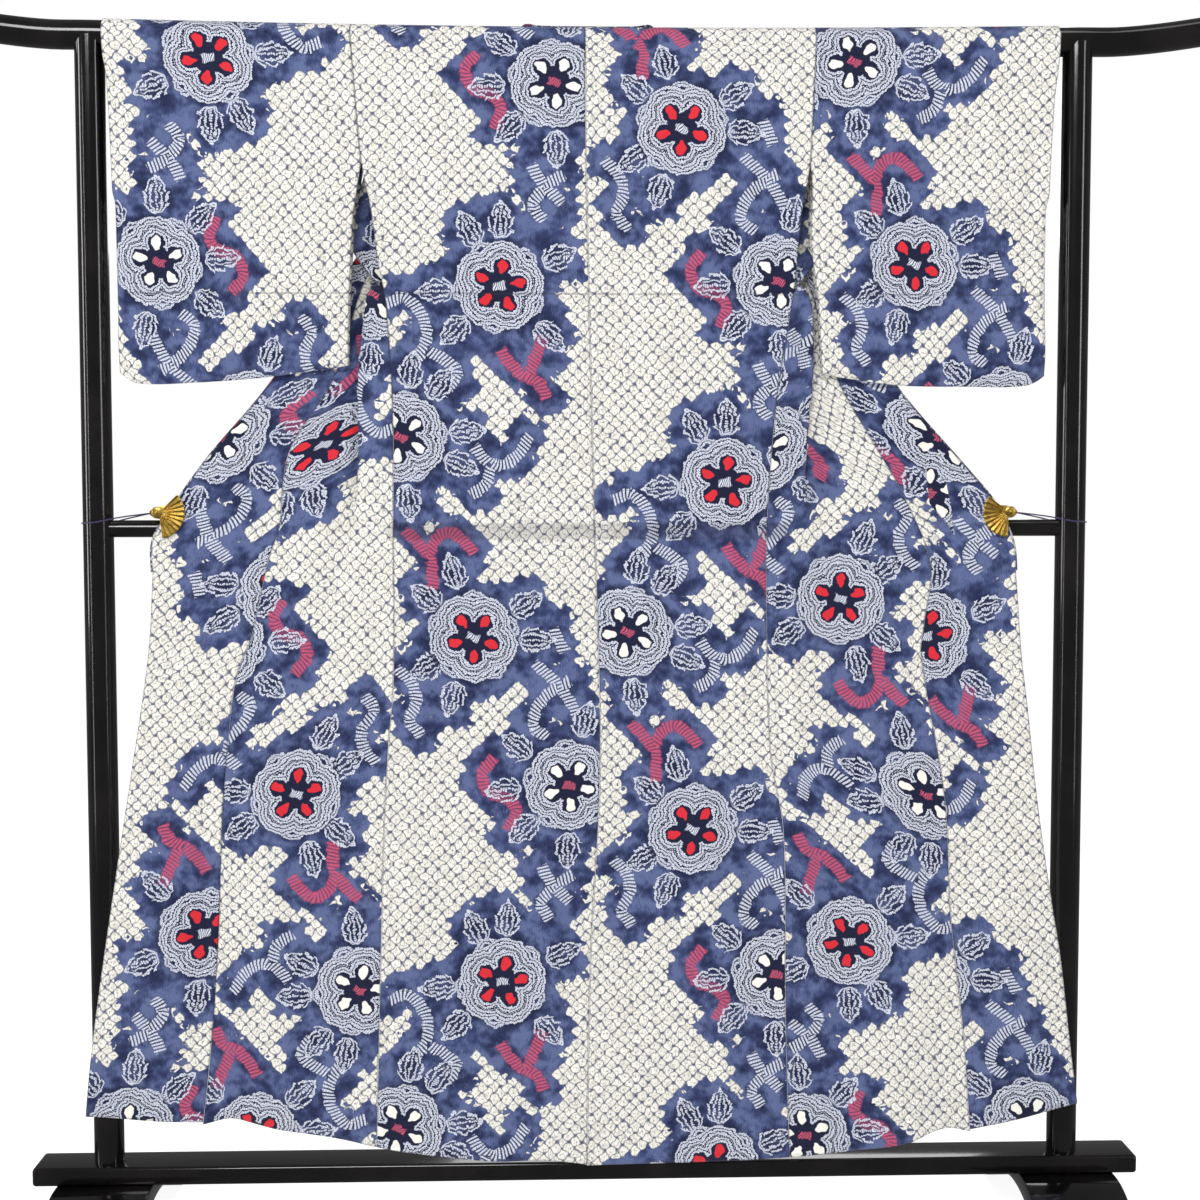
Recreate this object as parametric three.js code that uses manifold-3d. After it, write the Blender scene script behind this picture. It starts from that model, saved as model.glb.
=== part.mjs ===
// Women's cotton yukata hung over the top rail of a kimono stand, seen from the back.
// Millimetres, +Z up, X along the rail, the back of the garment towards -Y.
// The origin is on the floor, under the middle of the stand.
import * as THREE from 'three';
import { mergeVertices } from 'three/addons/utils/BufferGeometryUtils.js';
import Module from 'manifold-3d';

const wasm = await Module();
wasm.setup();

// Stand sizes
const RAIL_Z = 1666.5;
const RAIL_R = 19.5;
const RAIL_SAG = 7;
const RAIL_BEND_START = 718;
const RAIL_HALF = 890;
const RAIL_END_RISE = 22;
const POST_X = 677;
const POST_R = 20.5;
const MID_RAIL_Z = 996;
const MID_RAIL_R = 11.8;
const PLANK_HALF = 777;
const PLANK_DEPTH = 61;
const PLANK_TOP = 106;
const PLANK_HEIGHT = 26;
const FOOT_WIDTH = 134;
const FOOT_HALF = 215;
const FOOT_THICK = 22;
const FOOT_TIP = 9;
const FOOT_PAD = 46;
const GAP = 0.3;

// Cloth sizes
const CLOTH = 1.5;
const CLOTH_CLEAR = 1;
const CLOTH_R = RAIL_R + CLOTH_CLEAR + CLOTH / 2;
const NECK_HALF = 90;
const ARMHOLE_Z = 1498;
const SIDE_SEAM_TOP = 1320;
const OKUMI_TOP = 1480;
const CUFF_Z = 1450;
const SLEEVE_TURN = 4.5;
const COLLAR_THICK = 3;
const COLLAR_END_Z = 937;
const COLLAR_NECK_WIDTH = 57;
const COLLAR_END_WIDTH = 75;
const COLLAR_PROUD = 2.5;
const COLLAR_CLEAR = 0.4;
const COLLAR_FREE = 1.5;
const COLLAR_SWING = 3;
const COLLAR_COLUMNS = [0, 0.12, 0.24, 0.36, 0.48, 0.6, 0.8, 1];

// The pair of fan clips and their cords
const CLIP = {
  left: { x: 588, z: 1018, turn: -19 },
  right: { x: 583, z: 1018, turn: -25 },
};
const FAN_R = 35;
const FAN_ROOT_R = 4;
const FAN_BEND_R = 15;
const FAN_SPREAD = 128;
const FAN_RIBS = 10;
const FAN_THICK = 2;
const FAN_WAVE = 1.1;
const FAN_CLEAR = 0.5;
const HINGE_R = 8;
const HINGE_SHIFT = 3;
const JAW_STRETCH = 3;
const CORD_R = 1;
const CORD_START = 16;
const CORD_CLEAR = 0.4;

// Depth of the back panel and of the opened front, by height
const DEPTHS = [
  { z: 100, back: -36, wing: -33 },
  { z: 400, back: -32.5, wing: -29 },
  { z: 700, back: -29, wing: -25.5 },
  { z: 930, back: -25.6, wing: -20.5 },
  { z: 1015, back: -25, wing: -18 },
  { z: 1105, back: -24.2, wing: -13.5 },
  { z: 1195, back: -23.3, wing: -8.5 },
  { z: 1260, back: -22.9, wing: -2 },
  { z: 1320, back: -22.5, wing: 6 },
  { z: 1379, back: -22.1, wing: 16 },
  { z: 1498, back: -21.8, wing: 31 },
  { z: 1600, back: -21.4, wing: 34 },
  { z: 1640, back: -CLOTH_R, wing: 29 },
  { z: 1666.5, back: -CLOTH_R, wing: 24 },
];

// Seams and edges of each side, as distances from the middle of the stand
const SIDE_EDGE = {
  left: [
    { z: 100, x: 299 }, { z: 339, x: 292 }, { z: 551, x: 285 }, { z: 690, x: 278 },
    { z: 788, x: 269.6 }, { z: 1008, x: 268.5 }, { z: 1172, x: 268.5 }, { z: 1307, x: 277 },
    { z: 1354, x: 286 }, { z: 1432, x: 296 }, { z: 1498, x: 308.5 }, { z: 1628, x: 319 },
    { z: 1700, x: 325 },
  ],
  right: [
    { z: 100, x: 283 }, { z: 334, x: 274.7 }, { z: 574, x: 270.6 }, { z: 687, x: 252 },
    { z: 896, x: 246 }, { z: 998, x: 246 }, { z: 1172, x: 259 }, { z: 1287, x: 277 },
    { z: 1345, x: 285 }, { z: 1423, x: 292 }, { z: 1498, x: 304 }, { z: 1549, x: 306.5 },
    { z: 1700, x: 313 },
  ],
};
const OKUMI_SEAM = {
  left: [
    { z: 100, x: 545 }, { z: 264, x: 526 }, { z: 422, x: 515 }, { z: 601, x: 507 },
    { z: 705, x: 498 }, { z: 795, x: 485 }, { z: 843, x: 466 }, { z: 954, x: 440 },
    { z: 1000, x: 425 }, { z: 1068, x: 419 }, { z: 1110, x: 408 }, { z: 1203, x: 350 },
    { z: 1320, x: 315 }, { z: 1400, x: 278 }, { z: 1480, x: 237 },
  ],
  right: [
    { z: 100, x: 541 }, { z: 288, x: 527 }, { z: 420, x: 511 }, { z: 471, x: 506 },
    { z: 615, x: 498 }, { z: 819, x: 463 }, { z: 862, x: 467 }, { z: 947, x: 475 },
    { z: 1046, x: 435 }, { z: 1110, x: 398 }, { z: 1204, x: 345 }, { z: 1320, x: 312 },
    { z: 1400, x: 278 }, { z: 1480, x: 237 },
  ],
};
const FRONT_EDGE = {
  left: [
    { z: 100, x: 705 }, { z: 219, x: 695 }, { z: 365, x: 677 }, { z: 506, x: 656 },
    { z: 623, x: 637 }, { z: 770, x: 613 }, { z: 841, x: 604 }, { z: 929, x: 599 },
    { z: 983, x: 597 }, { z: 1041, x: 560 }, { z: 1095, x: 521 }, { z: 1195, x: 437 },
    { z: 1379, x: 313 }, { z: 1498, x: 227 }, { z: 1600, x: 153 }, { z: 1660, x: 105 },
  ],
  right: [
    { z: 100, x: 697 }, { z: 229, x: 681 }, { z: 383, x: 664 }, { z: 470, x: 650 },
    { z: 614, x: 628 }, { z: 752, x: 612 }, { z: 818, x: 604 }, { z: 926, x: 596 },
    { z: 981, x: 590 }, { z: 1036, x: 562 }, { z: 1074, x: 530 }, { z: 1195, x: 426 },
    { z: 1379, x: 310 }, { z: 1498, x: 227 }, { z: 1600, x: 153 }, { z: 1660, x: 105 },
  ],
};
const CENTRE_SEAM = [
  { z: 100, x: -5 }, { z: 400, x: 1 }, { z: 600, x: 13 }, { z: 740, x: 15 },
  { z: 1000, x: 8 }, { z: 1170, x: 4 }, { z: 1500, x: -3 }, { z: 1700, x: -4 },
];

// Height of the hem along the back and the opened front
const HEM = {
  left: [
    { x: 0, z: 104 }, { x: 23, z: 108 }, { x: 70, z: 112 }, { x: 130, z: 111 },
    { x: 195, z: 117 }, { x: 265, z: 127 }, { x: 299, z: 134 }, { x: 360, z: 147 },
    { x: 430, z: 159 }, { x: 466, z: 168 }, { x: 500, z: 175 }, { x: 540, z: 167 },
    { x: 580, z: 165 }, { x: 650, z: 172 }, { x: 705, z: 177 },
  ],
  right: [
    { x: 0, z: 104 }, { x: 60, z: 105 }, { x: 200, z: 108 }, { x: 296, z: 113 },
    { x: 387, z: 120 }, { x: 452, z: 130 }, { x: 485, z: 144 }, { x: 509, z: 149 },
    { x: 545, z: 143 }, { x: 590, z: 143 }, { x: 632, z: 159 }, { x: 690, z: 179 },
  ],
};

// Sleeve edges: the inner edge is sewn to the body down to the armhole's end
const SLEEVE_INNER = {
  left: [
    { z: 1200, x: 328.5 }, { z: 1307, x: 326 }, { z: 1421, x: 320 }, { z: 1462, x: 313.7 },
    { z: 1498, x: 308.5 },
  ],
  right: [
    { z: 1200, x: 322 }, { z: 1306, x: 315.7 }, { z: 1387, x: 306 }, { z: 1462, x: 307 },
    { z: 1498, x: 304 },
  ],
};
const SLEEVE_OUTER = {
  left: [
    { z: 1190, x: 630 }, { z: 1212, x: 638.6 }, { z: 1306, x: 641 }, { z: 1441, x: 644 },
    { z: 1607, x: 650 }, { z: 1639, x: 655 }, { z: 1700, x: 657 },
  ],
  right: [
    { z: 1190, x: 617 }, { z: 1207, x: 631 }, { z: 1309, x: 632 }, { z: 1419, x: 633.5 },
    { z: 1581, x: 640 }, { z: 1635, x: 646 }, { z: 1700, x: 649 },
  ],
};
const SLEEVE_BOTTOM = {
  left: [
    { across: 0, z: 1219 }, { across: 0.17, z: 1211 }, { across: 0.4, z: 1202 },
    { across: 0.67, z: 1196 }, { across: 0.94, z: 1195 }, { across: 1, z: 1209 },
  ],
  right: [
    { across: 0, z: 1209 }, { across: 0.1, z: 1203 }, { across: 0.36, z: 1193 },
    { across: 0.66, z: 1191.5 }, { across: 0.94, z: 1193 }, { across: 1, z: 1206 },
  ],
};

// Sections through the opened front, from the side seam to the okumi seam:
// a strip beside the seam, a deep fold that turns back behind it, and its mouth.
// fold is 1 where the fold is full and 0 where the cloth lies open.
const FRONT_SECTIONS = [
  { z: 1640, strip: -60, stripY: 21.5, inner: -212, innerY: 25, mouth: -208, mouthY: 27, fold: 1 },
  { z: 1600, strip: -60, stripY: 21.5, inner: -196, innerY: 26, mouth: -180, mouthY: 32, fold: 1 },
  { z: 1540, strip: -80, stripY: 18, inner: -180, innerY: 23, mouth: -145, mouthY: 31, fold: 1 },
  { z: 1498, strip: -70, stripY: 15, inner: -158, innerY: 20, mouth: -112, mouthY: 28, fold: 1 },
  { z: 1455, strip: -55, stripY: 8, inner: -145, innerY: 14, mouth: -80, mouthY: 26, fold: 1 },
  { z: 1420, strip: -40, stripY: 2, inner: -135, innerY: 9, mouth: -62, mouthY: 20, fold: 1 },
  { z: 1379, strip: -25, stripY: -4, inner: -118, innerY: 4, mouth: -45, mouthY: 14, fold: 1 },
  { z: 1345, strip: -5, stripY: -11, inner: -98, innerY: -3, mouth: -25, mouthY: 8, fold: 1 },
  { z: 1320, strip: 22, stripY: -18.5, inner: -75, innerY: -7, mouth: 0, mouthY: 3, fold: 1 },
  { z: 1260, strip: 38, stripY: -19, inner: -50, innerY: -11, mouth: 25, mouthY: -3, fold: 1 },
  { z: 1195, strip: 48, stripY: -19, inner: -22, innerY: -12.5, mouth: 62, mouthY: -7, fold: 1 },
  { z: 1150, strip: 49, stripY: -20, inner: 2, innerY: -13.5, mouth: 68, mouthY: -9.5, fold: 1 },
  { z: 1105, strip: 50, stripY: -21, inner: 22, innerY: -14.5, mouth: 72, mouthY: -12, fold: 0.95 },
  { z: 1060, strip: 52, stripY: -22, inner: 38, innerY: -16, mouth: 78, mouthY: -16, fold: 0.85 },
  { z: 1015, strip: 55, stripY: -23, inner: 55, innerY: -16, mouth: 85, mouthY: -19, fold: 0.7 },
  { z: 970, strip: 55, stripY: -24, inner: 68, innerY: -17, mouth: 92, mouthY: -22, fold: 0.55 },
  { z: 930, strip: 55, stripY: -24.5, inner: 76, innerY: -19, mouth: 100, mouthY: -23, fold: 0.35 },
  { z: 880, strip: 55, stripY: -25, inner: 85, innerY: -21, mouth: 110, mouthY: -24, fold: 0.15 },
  { z: 820, strip: 55, stripY: -26, inner: 95, innerY: -24, mouth: 120, mouthY: -25, fold: 0 },
  { z: 700, strip: 55, stripY: -29, inner: 95, innerY: -26, mouth: 120, mouthY: -27, fold: 0 },
  { z: 560, strip: 55, stripY: -31, inner: 95, innerY: -28, mouth: 120, mouthY: -29, fold: 0 },
  { z: 420, strip: 55, stripY: -33, inner: 95, innerY: -29, mouth: 120, mouthY: -30, fold: 0 },
  { z: 280, strip: 55, stripY: -34, inner: 95, innerY: -30, mouth: 120, mouthY: -31, fold: 0 },
  { z: 150, strip: 55, stripY: -35, inner: 95, innerY: -31, mouth: 120, mouthY: -32, fold: 0 },
];

// The free side edge of the front between the armhole and the side seam
const FRONT_SIDE = [
  { z: 1320, x: 0, y: -20.5 },
  { z: 1345, x: 5, y: -13 },
  { z: 1379, x: 14, y: -3 },
  { z: 1420, x: 16, y: 3 },
  { z: 1455, x: 4, y: 7 },
  { z: 1480, x: -6, y: 10 },
  { z: 1498, x: 0, y: 12 },
];
const SLEEVE_FRONT_DEPTH = [
  { z: 1190, y: -14.3 }, { z: 1260, y: -8.5 }, { z: 1320, y: -3 }, { z: 1379, y: 2.5 },
  { z: 1498, y: 12 }, { z: 1600, y: 19 }, { z: 1666.5, y: CLOTH_R },
];

// Heights of the okumi's rows: across the strip the front edge lies higher than the seam
const OKUMI_ROWS = [
  { seam: 1455, edge: 1463 }, { seam: 1420, edge: 1436 }, { seam: 1379, edge: 1401 },
  { seam: 1345, edge: 1370 }, { seam: 1320, edge: 1347 }, { seam: 1260, edge: 1292 },
  { seam: 1195, edge: 1240 }, { seam: 1150, edge: 1197 }, { seam: 1105, edge: 1150 },
  { seam: 1060, edge: 1106 }, { seam: 1015, edge: 1058 },
  { seam: 970, edge: 1000 }, { seam: 930, edge: 948 }, { seam: 880, edge: 890 },
  { seam: 820, edge: 824 }, { seam: 700, edge: 700 }, { seam: 560, edge: 560 },
  { seam: 420, edge: 420 }, { seam: 280, edge: 280 }, { seam: 150, edge: 150 },
];

// The collar over the rail: place of its sewn edge round the rail, in degrees from the
// level, how far it stands off, and how much the band leans along the shoulder
const COLLAR_NECK = [
  { out: 107, lift: 3.4, start: 8, lean: 0.7 },
  { out: 101, lift: 3.2, start: 34, lean: 0.5 },
  { out: 94, lift: 3, start: 62, lean: 0.28 },
  { out: 84, lift: 2.8, start: 90, lean: 0.08 },
  { out: 68, lift: 0.6, start: 90, lean: 0 },
  { out: 34, lift: 0, start: 90, lean: 0 },
  { out: 0, lift: 0, start: 90, lean: 0 },
];

// Steps of the grids that the cloth is made on
const OKUMI_COLUMNS = 6;
const BACK_ROWS = [150, 280, 420, 560, 700, 850, 1015, 1172, 1320, 1420, 1498, 1540, 1600];
const FRONT_COLUMNS = 16;
const NECK_COLUMNS = 3;
const RAIL_TURN_STEPS = 8;
const RAIL_TURN_TO_NECK = 3;
const HEM_ROW = 150;
const SLEEVE_STATIONS = [0, 0.08, 0.2, 0.35, 0.5, 0.65, 0.8, 0.92, 0.97, 1];
const SLEEVE_HEIGHTS = [RAIL_Z, 1600, 1540, ARMHOLE_Z, CUFF_Z, 1379, 1320, 1260, 1222];
const SLEEVE_TURNS = [22.5, 45, 67.5, 90];
const COLLAR_HEIGHTS = [COLLAR_END_Z, 960, 985, 1015, 1058, 1106, 1150, 1197, 1240, 1290, 1345,
  1420, 1498, 1560, 1600, 1632];
const SIGN = { left: -1, right: 1 };

// Value of one column of a table at a place between its rows, smooth through the rows
function along(table, key, column, place) {
  const rows = table[0][key] < table[1][key] ? table : [...table].reverse();
  const last = rows.length - 1;
  if (place <= rows[0][key]) return rows[0][column];
  if (place >= rows[last][key]) return rows[last][column];
  let i = 0;
  while (rows[i + 1][key] < place) i += 1;
  const slope = (a, b) => (rows[b][column] - rows[a][column]) / (rows[b][key] - rows[a][key]);
  const span = rows[i + 1][key] - rows[i][key];
  const t = (place - rows[i][key]) / span;
  const m0 = slope(Math.max(i - 1, 0), i + 1) * span;
  const m1 = slope(i, Math.min(i + 2, last)) * span;
  const t2 = t * t;
  const t3 = t2 * t;
  return (2 * t3 - 3 * t2 + 1) * rows[i][column] + (t3 - 2 * t2 + t) * m0
    + (3 * t2 - 2 * t3) * rows[i + 1][column] + (t3 - t2) * m1;
}

const atHeight = (table, z, column = 'x') => along(table, 'z', column, z);
const mix = (a, b, t) => a + (b - a) * t;
const fade = (from, to, v) => THREE.MathUtils.smoothstep((v - from) / (to - from), 0, 1);

// Height of the rail's axis: it sags between the posts and curves up past them
function railAxis(x) {
  const out = Math.abs(x);
  const sag = out < POST_X ? RAIL_SAG * (1 - (out / POST_X) ** 2) : 0;
  const bend = Math.max(0, out - RAIL_BEND_START) / (RAIL_HALF - RAIL_BEND_START);
  return RAIL_Z - sag + RAIL_END_RISE * bend ** 1.5;
}

// Real height of a cloth row: it follows the sag near the rail and the hem at its foot
function clothHeight(side, out, z) {
  const high = fade(1350, 1620, z);
  const low = 1 - fade(HEM_ROW, 560, z);
  const hem = along(HEM[side], 'x', 'z', out) - HEM_ROW;
  return z + high * (railAxis(out) - RAIL_Z) + low * hem;
}

// Soft waves of the opened front towards the hem
function hemWave(out, z) {
  const height = 3;
  const length = 27;
  const reach = fade(280, 340, out) * (1 - fade(300, 1000, z));
  return height * reach * Math.sin((out - 300) / length);
}

function point(side, out, y, z) {
  return new THREE.Vector3(SIGN[side] * out, y, z);
}

// Geometry of a list of points and triangles, turned so that its faces look outwards
function solid(points, triangles) {
  const volume = triangles.reduce((sum, [a, b, c]) => {
    const cross = new THREE.Vector3().crossVectors(points[b], points[c]);
    return sum + points[a].dot(cross);
  }, 0);
  const faces = volume > 0 ? triangles : triangles.map(([a, b, c]) => [a, c, b]);
  const geometry = new THREE.BufferGeometry();
  const places = points.flatMap((p) => p.toArray());
  geometry.setAttribute('position', new THREE.Float32BufferAttribute(places, 3));
  geometry.setIndex(faces.flat());
  geometry.computeVertexNormals();
  return geometry;
}

// Closed wall of cloth around a grid of middle points; rows may be shorter than others,
// and a quad stands wherever its four corners exist
function wall(rows, thickness) {
  const quads = [];
  for (let i = 0; i + 1 < rows.length; i += 1) {
    const count = Math.min(rows[i].length, rows[i + 1].length);
    for (let j = 0; j + 1 < count; j += 1) {
      quads.push([[i, j], [i + 1, j], [i + 1, j + 1], [i, j + 1]]);
    }
  }
  const name = ([i, j]) => i * 1000 + j;
  const normals = new Map();
  for (const quad of quads) {
    const [a, b, c, d] = quad.map(([i, j]) => rows[i][j]);
    const across = new THREE.Vector3().subVectors(c, a);
    const normal = across.cross(new THREE.Vector3().subVectors(d, b)).normalize();
    for (const corner of quad) {
      const sum = normals.get(name(corner)) ?? new THREE.Vector3();
      normals.set(name(corner), sum.add(normal));
    }
  }
  const points = [];
  const index = new Map();
  for (const [key, sum] of normals) {
    const middle = rows[Math.floor(key / 1000)][key % 1000];
    const normal = sum.normalize();
    index.set(key, points.length);
    points.push(middle.clone().addScaledVector(normal, thickness / 2));
    points.push(middle.clone().addScaledVector(normal, -thickness / 2));
  }
  const edges = new Set();
  for (const quad of quads) {
    quad.forEach((corner, k) => edges.add(`${name(corner)},${name(quad[(k + 1) % 4])}`));
  }
  const triangles = [];
  for (const quad of quads) {
    const [a, b, c, d] = quad.map((corner) => index.get(name(corner)));
    triangles.push([a, b, c], [a, c, d], [a + 1, c + 1, b + 1], [a + 1, d + 1, c + 1]);
    quad.forEach((corner, k) => {
      const next = quad[(k + 1) % 4];
      if (edges.has(`${name(next)},${name(corner)}`)) return;
      const p = index.get(name(corner));
      const q = index.get(name(next));
      triangles.push([q, p, p + 1], [q, p + 1, q + 1]);
    });
  }
  return solid(points, triangles);
}

// Points at equal distances along a smooth curve through the given points
function spread(points, count) {
  const curve = new THREE.CatmullRomCurve3(points, false, 'centripetal');
  curve.arcLengthDivisions = 160;
  return curve.getSpacedPoints(count);
}

// One level section of the front, from the side seam or armhole to the okumi seam
function frontSection(side, row) {
  const { z } = row;
  const edge = atHeight(SIDE_EDGE[side], z);
  const sewn = z < SIDE_SEAM_TOP;
  const free = !sewn && z <= ARMHOLE_Z;
  const shift = free ? atHeight(FRONT_SIDE, z, 'x') : 0;
  const start = edge + shift + (z <= SIDE_SEAM_TOP ? GAP / 2 : -GAP / 2);
  const upperY = free ? atHeight(FRONT_SIDE, z, 'y') : atHeight(SLEEVE_FRONT_DEPTH, z, 'y');
  const startY = sewn ? atHeight(DEPTHS, z, 'back') : upperY;
  const wing = atHeight(DEPTHS, z, 'wing');
  const seam = z > OKUMI_TOP ? atHeight(FRONT_EDGE[side], z) : atHeight(OKUMI_SEAM[side], z);
  const stops = [
    { folded: edge + row.strip, y: row.stripY, open: 0.23 },
    { folded: edge + row.inner, y: row.innerY, open: 0.45 },
    { folded: edge + row.mouth, y: row.mouthY, open: 0.62 },
  ];
  const points = [point(side, start, startY, z)];
  for (const stop of stops) {
    const open = mix(start, seam, stop.open);
    points.push(point(side, mix(open, stop.folded, row.fold), stop.y, z));
  }
  const openLast = mix(start, seam, 0.9);
  const foldedLast = mix(edge + row.mouth, seam, 0.6);
  points.push(point(side, mix(openLast, foldedLast, row.fold), wing, z));
  points.push(point(side, seam - GAP / 2, wing, z));
  return spread(points, FRONT_COLUMNS).map((p) => {
    const out = Math.abs(p.x);
    return point(side, out, p.y + hemWave(out, z), clothHeight(side, out, z));
  });
}

// A row of the back panel, from the side edge to the centre seam
function backRow(side, z) {
  const centre = SIGN[side] * atHeight(CENTRE_SEAM, z) + GAP / 2;
  const edge = atHeight(SIDE_EDGE[side], z) - GAP / 2;
  const y = atHeight(DEPTHS, z, 'back');
  const row = [];
  for (let j = 0; j <= FRONT_COLUMNS; j += 1) {
    const out = mix(edge, NECK_HALF, j / FRONT_COLUMNS);
    row.push(point(side, out, y, clothHeight(side, out, z)));
  }
  for (let j = 1; j <= NECK_COLUMNS; j += 1) {
    const out = mix(NECK_HALF, centre, j / NECK_COLUMNS);
    row.push(point(side, out, y, clothHeight(side, Math.max(out, 0), z)));
  }
  return row;
}

// Rows over the rail: the first reach the neck and the centre, the others end at the neck
function shoulderRows(side) {
  const rows = [];
  for (let k = 0; k <= RAIL_TURN_STEPS; k += 1) {
    const turn = Math.PI * (1 - k / RAIL_TURN_STEPS);
    const columns = FRONT_COLUMNS + (k <= RAIL_TURN_TO_NECK ? NECK_COLUMNS : 0);
    const centre = SIGN[side] * CENTRE_SEAM.at(-1).x + GAP / 2;
    const edge = atHeight(SIDE_EDGE[side], RAIL_Z) - GAP / 2;
    const row = [];
    for (let j = 0; j <= columns; j += 1) {
      const out = j <= FRONT_COLUMNS
        ? mix(edge, NECK_HALF, j / FRONT_COLUMNS)
        : mix(NECK_HALF, centre, (j - FRONT_COLUMNS) / NECK_COLUMNS);
      const y = CLOTH_R * Math.cos(turn);
      row.push(point(side, out, y, railAxis(out) + CLOTH_R * Math.sin(turn)));
    }
    rows.push(row);
  }
  return rows;
}

function bodyPiece(side) {
  const back = BACK_ROWS.map((z) => backRow(side, z));
  const front = FRONT_SECTIONS.map((row) => frontSection(side, row));
  return wall([...back, ...shoulderRows(side), ...front], CLOTH);
}

// A point on the opened front's edge or on its okumi seam
function wingPoint(side, table, z, shift = 0) {
  const out = atHeight(table, z) + shift;
  const y = atHeight(DEPTHS, z, 'wing') + hemWave(out, z);
  return point(side, out, y, clothHeight(side, out, z));
}

function okumiPiece(side) {
  const rows = OKUMI_ROWS.map(({ seam, edge }) => {
    const start = wingPoint(side, OKUMI_SEAM[side], seam, GAP / 2);
    const end = wingPoint(side, FRONT_EDGE[side], edge);
    const wave = (p) => hemWave(Math.abs(p.x), p.z);
    const row = [];
    for (let j = 0; j <= OKUMI_COLUMNS; j += 1) {
      const part = j / OKUMI_COLUMNS;
      const p = start.clone().lerp(end, part);
      p.y += wave(p) - mix(wave(start), wave(end), part);
      row.push(p);
    }
    return row;
  });
  return wall(rows, CLOTH);
}

// The sleeve: rings around the rail, open at the body and, above the cuff's end, outside
function sleevePiece(side) {
  const bagTop = 1320;
  const bagFoot = SLEEVE_HEIGHTS.at(-1);
  const half = SLEEVE_TURNS.length + SLEEVE_HEIGHTS.length;
  const ring = (across, inset) => {
    const bottom = along(SLEEVE_BOTTOM[side], 'across', 'z', across) + SLEEVE_TURN;
    const place = (z, y) => {
      const inner = z >= ARMHOLE_Z ? SIDE_EDGE[side] : SLEEVE_INNER[side];
      const out = mix(atHeight(inner, z) + GAP / 2,
        atHeight(SLEEVE_OUTER[side], z), across) - inset;
      const high = fade(1350, 1620, z) * (railAxis(out) - RAIL_Z);
      return point(side, out, y, z + high);
    };
    const rows = SLEEVE_HEIGHTS.map((z) => (z > bagTop ? z
      : mix(bottom, bagTop, (z - bagFoot) / (bagTop - bagFoot))));
    const backSide = rows.map((z) => place(z, atHeight(DEPTHS, z, 'back')));
    const frontSide = rows.map((z) => place(z, atHeight(SLEEVE_FRONT_DEPTH, z, 'y')));
    const over = (degrees) => {
      const angle = THREE.MathUtils.degToRad(degrees);
      const p = place(RAIL_Z, CLOTH_R * Math.cos(angle));
      p.z = railAxis(p.x) + CLOTH_R * Math.sin(angle);
      return p;
    };
    const backEnd = backSide.at(-1);
    const frontEnd = frontSide.at(-1);
    const foot = backEnd.clone().lerp(frontEnd, 0.5);
    foot.z -= SLEEVE_TURN;
    const rising = [...SLEEVE_TURNS].reverse().map((d) => over(180 - d));
    const falling = SLEEVE_TURNS.slice(0, -1).map((d) => over(d));
    return [...rising, ...backSide, foot, ...[...frontSide].reverse(), ...falling];
  };
  const sewn = SLEEVE_HEIGHTS.indexOf(CUFF_Z) + SLEEVE_TURNS.length;
  return tubeWall(SLEEVE_STATIONS, ring, half, sewn);
}

// Wall of a tube of rings. Ring points run down the back, round the foot and up the front,
// so that point k faces point count - k. The far end is closed from point sewn downwards.
function tubeWall(stations, ring, half, sewn) {
  const outer = [];
  const inner = [];
  stations.forEach((across, s) => {
    const last = s === stations.length - 1;
    const middle = ring(across, 0);
    const inside = last ? ring(across, CLOTH) : middle;
    const count = middle.length;
    const offsets = (points, amount) => points.map((p, k) => {
      const before = points[(k + count - 1) % count];
      const after = points[(k + 1) % count];
      const run = new THREE.Vector3().subVectors(after, before).setX(0).normalize();
      return p.clone().add(new THREE.Vector3(0, run.z, -run.y).multiplyScalar(amount));
    });
    const sample = offsets(middle, 1)[half - 2];
    const outwards = sample.y < middle[half - 2].y ? 1 : -1;
    outer.push(offsets(middle, (outwards * CLOTH) / 2));
    inner.push(offsets(inside, (-outwards * CLOTH) / 2).map((p, k) => {
      const closed = last && k >= sewn && k <= count - sewn;
      if (!closed && last) p.x = middle[k].x;
      return p;
    }));
  });
  const count = outer[0].length;
  const points = [...outer.flat(), ...inner.flat()];
  const out = (s, k) => s * count + ((k + count) % count);
  const inn = (s, k) => out(s, k) + stations.length * count;
  const triangles = [];
  const quad = (a, b, c, d) => triangles.push([a, b, c], [a, c, d]);
  for (let s = 0; s + 1 < stations.length; s += 1) {
    for (let k = 0; k < count; k += 1) {
      quad(out(s, k), out(s, k + 1), out(s + 1, k + 1), out(s + 1, k));
      quad(inn(s, k), inn(s + 1, k), inn(s + 1, k + 1), inn(s, k + 1));
    }
  }
  const end = stations.length - 1;
  for (let k = 0; k < count; k += 1) quad(out(0, k + 1), out(0, k), inn(0, k), inn(0, k + 1));
  for (let k = -sewn; k < sewn; k += 1) {
    quad(out(end, k), out(end, k + 1), inn(end, k + 1), inn(end, k));
  }
  const foot = Math.round(count / 2);
  for (let k = sewn; k + 1 < foot; k += 1) {
    quad(out(end, k), out(end, k + 1), out(end, -k - 1), out(end, -k));
    quad(inn(end, k), inn(end, -k), inn(end, -k - 1), inn(end, k + 1));
  }
  triangles.push([out(end, foot - 1), out(end, foot), out(end, foot + 1)]);
  triangles.push([inn(end, foot - 1), inn(end, foot + 1), inn(end, foot)]);
  quad(out(end, sewn), out(end, -sewn), inn(end, -sewn), inn(end, sewn));
  return solid(points, triangles);
}

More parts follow.
